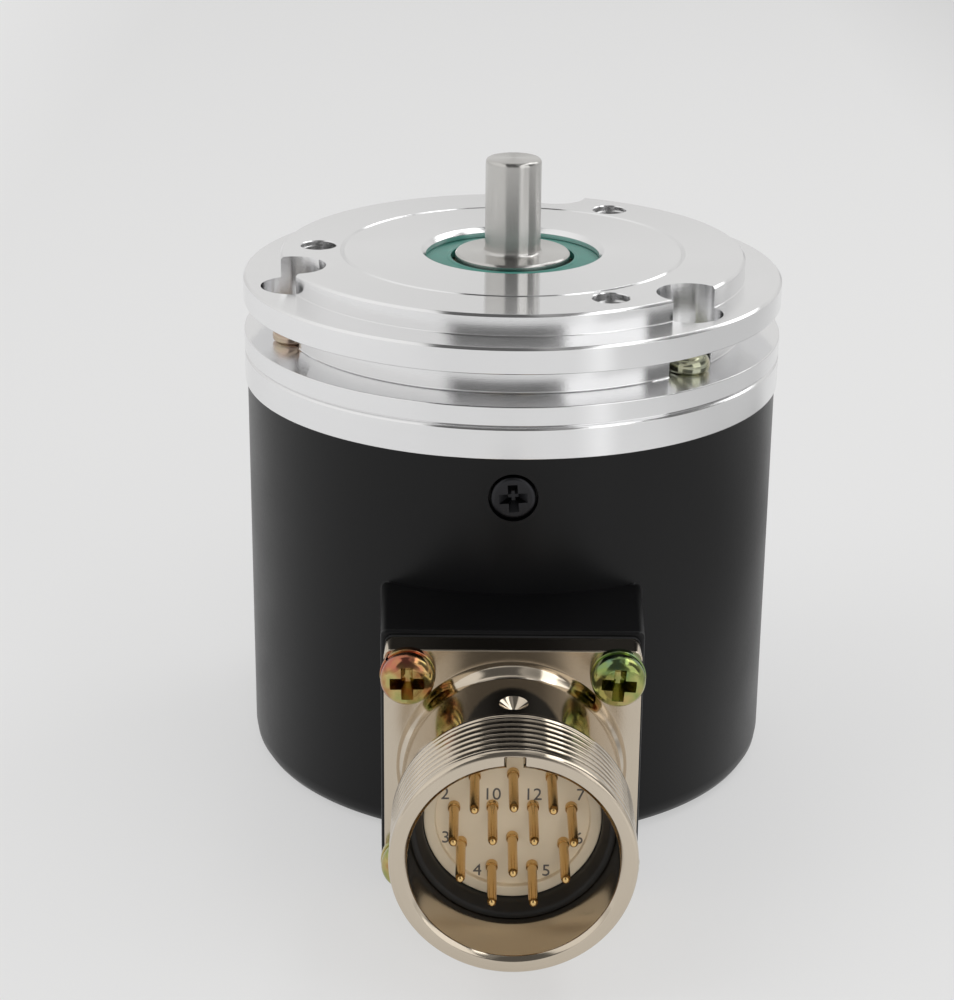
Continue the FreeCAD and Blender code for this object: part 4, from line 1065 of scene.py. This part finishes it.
# %% Screws in place
PLATE_FRONT = 40.9
PLATE_SCREW_CIRCLE, PLATE_SCREW_ANGLE = PLATE_SCREW_REACH * sqrt(2), 45
WASHER_THICK = 0.8
CRISP_SCREW = 28


def place_screws(name, mesh, circle, place, slot, node, seed=0):
    """Screws or washers on a circle, which is given as their count, its radius and the first angle."""
    placed = moved(copies(mesh, *circle, slot, seed=seed), place)
    fit_out(name, placed, "housing", slot, node, crisp=CRISP_SCREW)


flange_screw = pan_screw(head_r=2.3, head_height=1.8, shank_r=1.2, length=8.0)
flange_circle = (3, ACCESS_CIRCLE, ACCESS_ANGLE)
place_screws("flange_screws_cross_slot", flange_screw, flange_circle, shift(z=GROOVE_BOTTOM),
             "yellow_zinc", "flange_screws", seed=3)

cover_screw = pan_screw(head_r=2.25, head_height=1.7, shank_r=1.2, length=4.2, dome=0.4, slot_share=0.55)
cover_screw = moved(moved(cover_screw, spin(4)), OUTWARDS)
cover_circle = (3, SEAT_AWAY, COVER_SCREWS_ANGLE)
place_screws("cover_screws_cross_slot", cover_screw, cover_circle, shift(z=COVER_SCREWS_Z),
             "black_steel", "cover_screws")

plate_screw = pan_screw(head_r=2.62, head_height=2.0, shank_r=1.45, length=9.0)
plate_circle = (4, PLATE_SCREW_CIRCLE, PLATE_SCREW_ANGLE)
on_washers = TO_CONNECTOR @ shift(z=PLATE_FRONT + WASHER_THICK)
place_screws("plate_screws_cross_slot", plate_screw, plate_circle, on_washers,
             "yellow_zinc", "connector_screws", seed=11)

washer = spring_washer(inner_r=1.55, outer_r=2.7, thick=WASHER_THICK)
place_screws("plate_spring_washers", washer, plate_circle, TO_CONNECTOR @ shift(z=PLATE_FRONT),
             "yellow_zinc", "connector_washers", seed=5)

# %% [markdown]
# ## Connector shell
# The shell is turned from brass with a square plate left on it, then nickel plated. Plate and barrel
# are made apart and joined. A small conical dimple on top marks the key's side, and a keyway is cut
# in the mouth. The thread is added last with its own tree, standing on the barrel's root diameter.
# Heights here run along the connector's axis, from the shaft's axis outwards.

# %% Connector shell
SOCKET_R, SOCKET_FLOOR, MOUTH = 9.7, 44.0, 60.4
BOSS_R, BOSS_START, BOSS_RUN, BOSS_DROP = 11.3, 40.95, 2.3, 0.8
BOSS_STEPS = 10
THREAD_R, THREAD_TOOTH, THREAD_PITCH = 11.4, 0.16, 1.0
THREAD_START, THREAD_LENGTH = 52.6, 7.0
KEYWAY = ((0.62, 55.4), (0.75, 60.0), (1.05, 60.5))


def make_barrel():
    root = THREAD_R - THREAD_TOOTH + 0.05
    ease = [step / BOSS_STEPS for step in range(BOSS_STEPS + 1)]
    tail = [(9.0, 33.0), (9.8, 33.0), (9.8, 39.0), (BOSS_R, 39.0)]
    boss = [(BOSS_R - BOSS_DROP * t * t * (3 - 2 * t), BOSS_START + BOSS_RUN * t, 0.0) for t in ease]
    neck = [(10.5, 52.05, 0.1), (THREAD_R, 52.3, 0.08), (THREAD_R, 52.75, 0.08)]
    threaded = [(root, 52.95, 0.08), (root, 59.35, 0.08), (THREAD_R, 59.55, 0.08), (THREAD_R, 59.95, 0.1)]
    mouth = [(11.27, 60.27, 0.12), (10.95, MOUTH, 0.1), (10.1, MOUTH, 0.1), (SOCKET_R, 60.0, 0.1)]
    socket = [(SOCKET_R, SOCKET_FLOOR), (9.0, SOCKET_FLOOR)]
    return lathe(tail + boss + neck + threaded + mouth + socket, steps=192)


def make_shell():
    plate = rounded_block(half=12.5, corner=0.8, back=37.86, front=PLATE_FRONT, edge=0.12)
    shell = combine(plate, straight_bit(9.4, 30, 42, 96), "DIFFERENCE")
    shell = combine(shell, make_barrel(), "UNION")
    bits = around(straight_bit(1.55, 36, 42), PLATE_SCREW_ANGLE, shift(PLATE_SCREW_CIRCLE), count=4)
    dimple = drill_bit([(0, 0.9), (1.4, 0.0), (1.9, -0.5), (0, -0.5)], 48)
    bits.append(moved(dimple, shift(0, 10.42, 48.3) @ FORWARDS))
    keyway = loft([(square_ring(half, 0.1), height) for half, height in KEYWAY])
    bits.append(moved(keyway, shift(0, 9.95)))
    shell = combine(shell, joined(*bits), "DIFFERENCE")
    ridge = thread(THREAD_R - THREAD_TOOTH / 2, THREAD_PITCH, THREAD_LENGTH / THREAD_PITCH, THREAD_TOOTH,
                   outer=0.34, inner=0.98, finish="nickel_plate")
    return moved(joined(shell, moved(ridge, shift(z=THREAD_START))), TO_CONNECTOR)


fit_out("connector_shell_nickel", make_shell(), "housing", "nickel_plate", "connector_shell")

# %% [markdown]
# ## Contacts and insert
# Twelve gold contacts stand in a moulded insert: eight on an outer circle, three inside it and one
# nearer the middle below the key. Their numbers are printed beside them. A rubber sleeve fills the
# gap to the shell. The contacts use the circle tree again, and the numbers are text turned into thin
# mesh.

# %% Insert, sleeve and contacts
INSERT_FACE = 50.9
INSERT_RIM = INSERT_FACE + 0.6
OUTER_CIRCLE, KEY_CIRCLE, INNER_CIRCLE = 5.6, 4.5, 2.2
CONTACT_STEP = 40


def contact_circles(mesh, finish):
    """The outer eight, the inner three and the one below the key, as copies of one contact or cutter."""
    outer = copies(mesh.copy(), 8, OUTER_CIRCLE, 90 + CONTACT_STEP, finish, step=CONTACT_STEP)
    inner = copies(mesh.copy(), 3, INNER_CIRCLE, -90, finish)
    below_key = copies(mesh.copy(), 1, KEY_CIRCLE, 90, finish)
    return joined(outer, inner, below_key)


def make_contacts():
    tip = [(0, 58.3), (0.2, 58.26, 0.1), (0.35, 58.1, 0.1), (0.44, 57.8, 0.1), (0.46, 57.4, 0.1)]
    collar = [(0.46, 51.6), (0.58, 51.5, 0.05), (0.58, 50.85), (0.5, 50.85)]
    tail = [(0.5, 35.4), (0, 35.4)]
    pin = lathe(tip + collar + tail, steps=32, edge=0.02)
    return moved(contact_circles(pin, "gold_plate"), TO_CONNECTOR)


def make_insert():
    insert = lathe([(0, SOCKET_FLOOR), (8.4, SOCKET_FLOOR), (8.4, INSERT_RIM, 0.2), (7.3, INSERT_RIM, 0.15),
                    (7.3, INSERT_FACE, 0.08), (0, INSERT_FACE)], steps=128)
    bores = contact_circles(straight_bit(0.52, 43.5, 51.5), "cream_polymer")
    return moved(combine(insert, bores, "DIFFERENCE"), TO_CONNECTOR)


def make_sleeve():
    sleeve = lathe([(8.45, SOCKET_FLOOR), (SOCKET_R, SOCKET_FLOOR), (SOCKET_R, 53.4, 0.2), (9.1, 53.4, 0.3),
                    (8.45, 52.2, 0.3)], steps=160)
    return moved(sleeve, TO_CONNECTOR)


fit_out("contacts_gold", make_contacts(), "housing", "gold_plate", "contact_pins")
fit_out("insert_moulded", make_insert(), "housing", "cream_polymer", "connector_insert")
fit_out("sleeve_rubber", make_sleeve(), "housing", "black_rubber", "insert_sleeve")

# %% Contact numbers
NUMBER_SIZE = 1.75
NUMBER_HEIGHT = 0.03
NUMBER_CIRCLE = 6.75
NUMBER_LEAN = 9.0
INNER_NUMBERS = {10: (-1.95, 2.2), 12: (1.9, 2.2)}


def number_mesh(number, x, y):
    """A printed number as a thin raised mesh on the insert's face."""
    curve = bpy.data.curves.new("number", "FONT")
    curve.body = str(number)
    curve.size = NUMBER_SIZE
    curve.align_x = "CENTER"
    curve.align_y = "CENTER"
    curve.extrude = NUMBER_HEIGHT
    thing = new_object("number", curve)
    bpy.context.view_layer.update()
    mesh = bpy.data.meshes.new_from_object(thing.evaluated_get(bpy.context.evaluated_depsgraph_get()))
    bpy.data.objects.remove(thing)
    return moved(mesh, TO_CONNECTOR @ shift(x, y, INSERT_FACE) @ Matrix.Scale(MM, 4))


def make_numbers():
    """1 to 9 run round from the contact left of the top. Two of the inner three have a number as well."""
    marks = []
    for number in range(1, 10):
        contact = 90 + CONTACT_STEP * number
        lean = copysign(NUMBER_LEAN, cos(radians(contact)))
        angle = radians(contact + lean)
        marks.append(number_mesh(number, NUMBER_CIRCLE * cos(angle), NUMBER_CIRCLE * sin(angle)))
    for number, (x, y) in INNER_NUMBERS.items():
        marks.append(number_mesh(number, x, y))
    return joined(*marks)


fit_out("contact_numbers", make_numbers(), "housing", "black_polymer", finish="number_ink")

# %% [markdown]
# ## The solids that stay
# The bearings, the code disc, the boards and the gasket are right as they are. They keep their solids
# and only get a finish, because the inside can be opened up or cut away in another scene.

# %% Finishes for the solids that stay
for part in frame["record"]["subparts"]:
    for place in frame["nodes"][part["node"]].material_slots:
        place.material = FINISH[part["material_slot"]]

# %% Print both boxes and finish
boxes = {"cad": [list(corner) for corner in cad_box], "visual": [list(corner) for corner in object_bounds()]}
for name, box in boxes.items():
    print(name, "box in mm:", [[round(v / MM, 2) for v in corner] for corner in box])
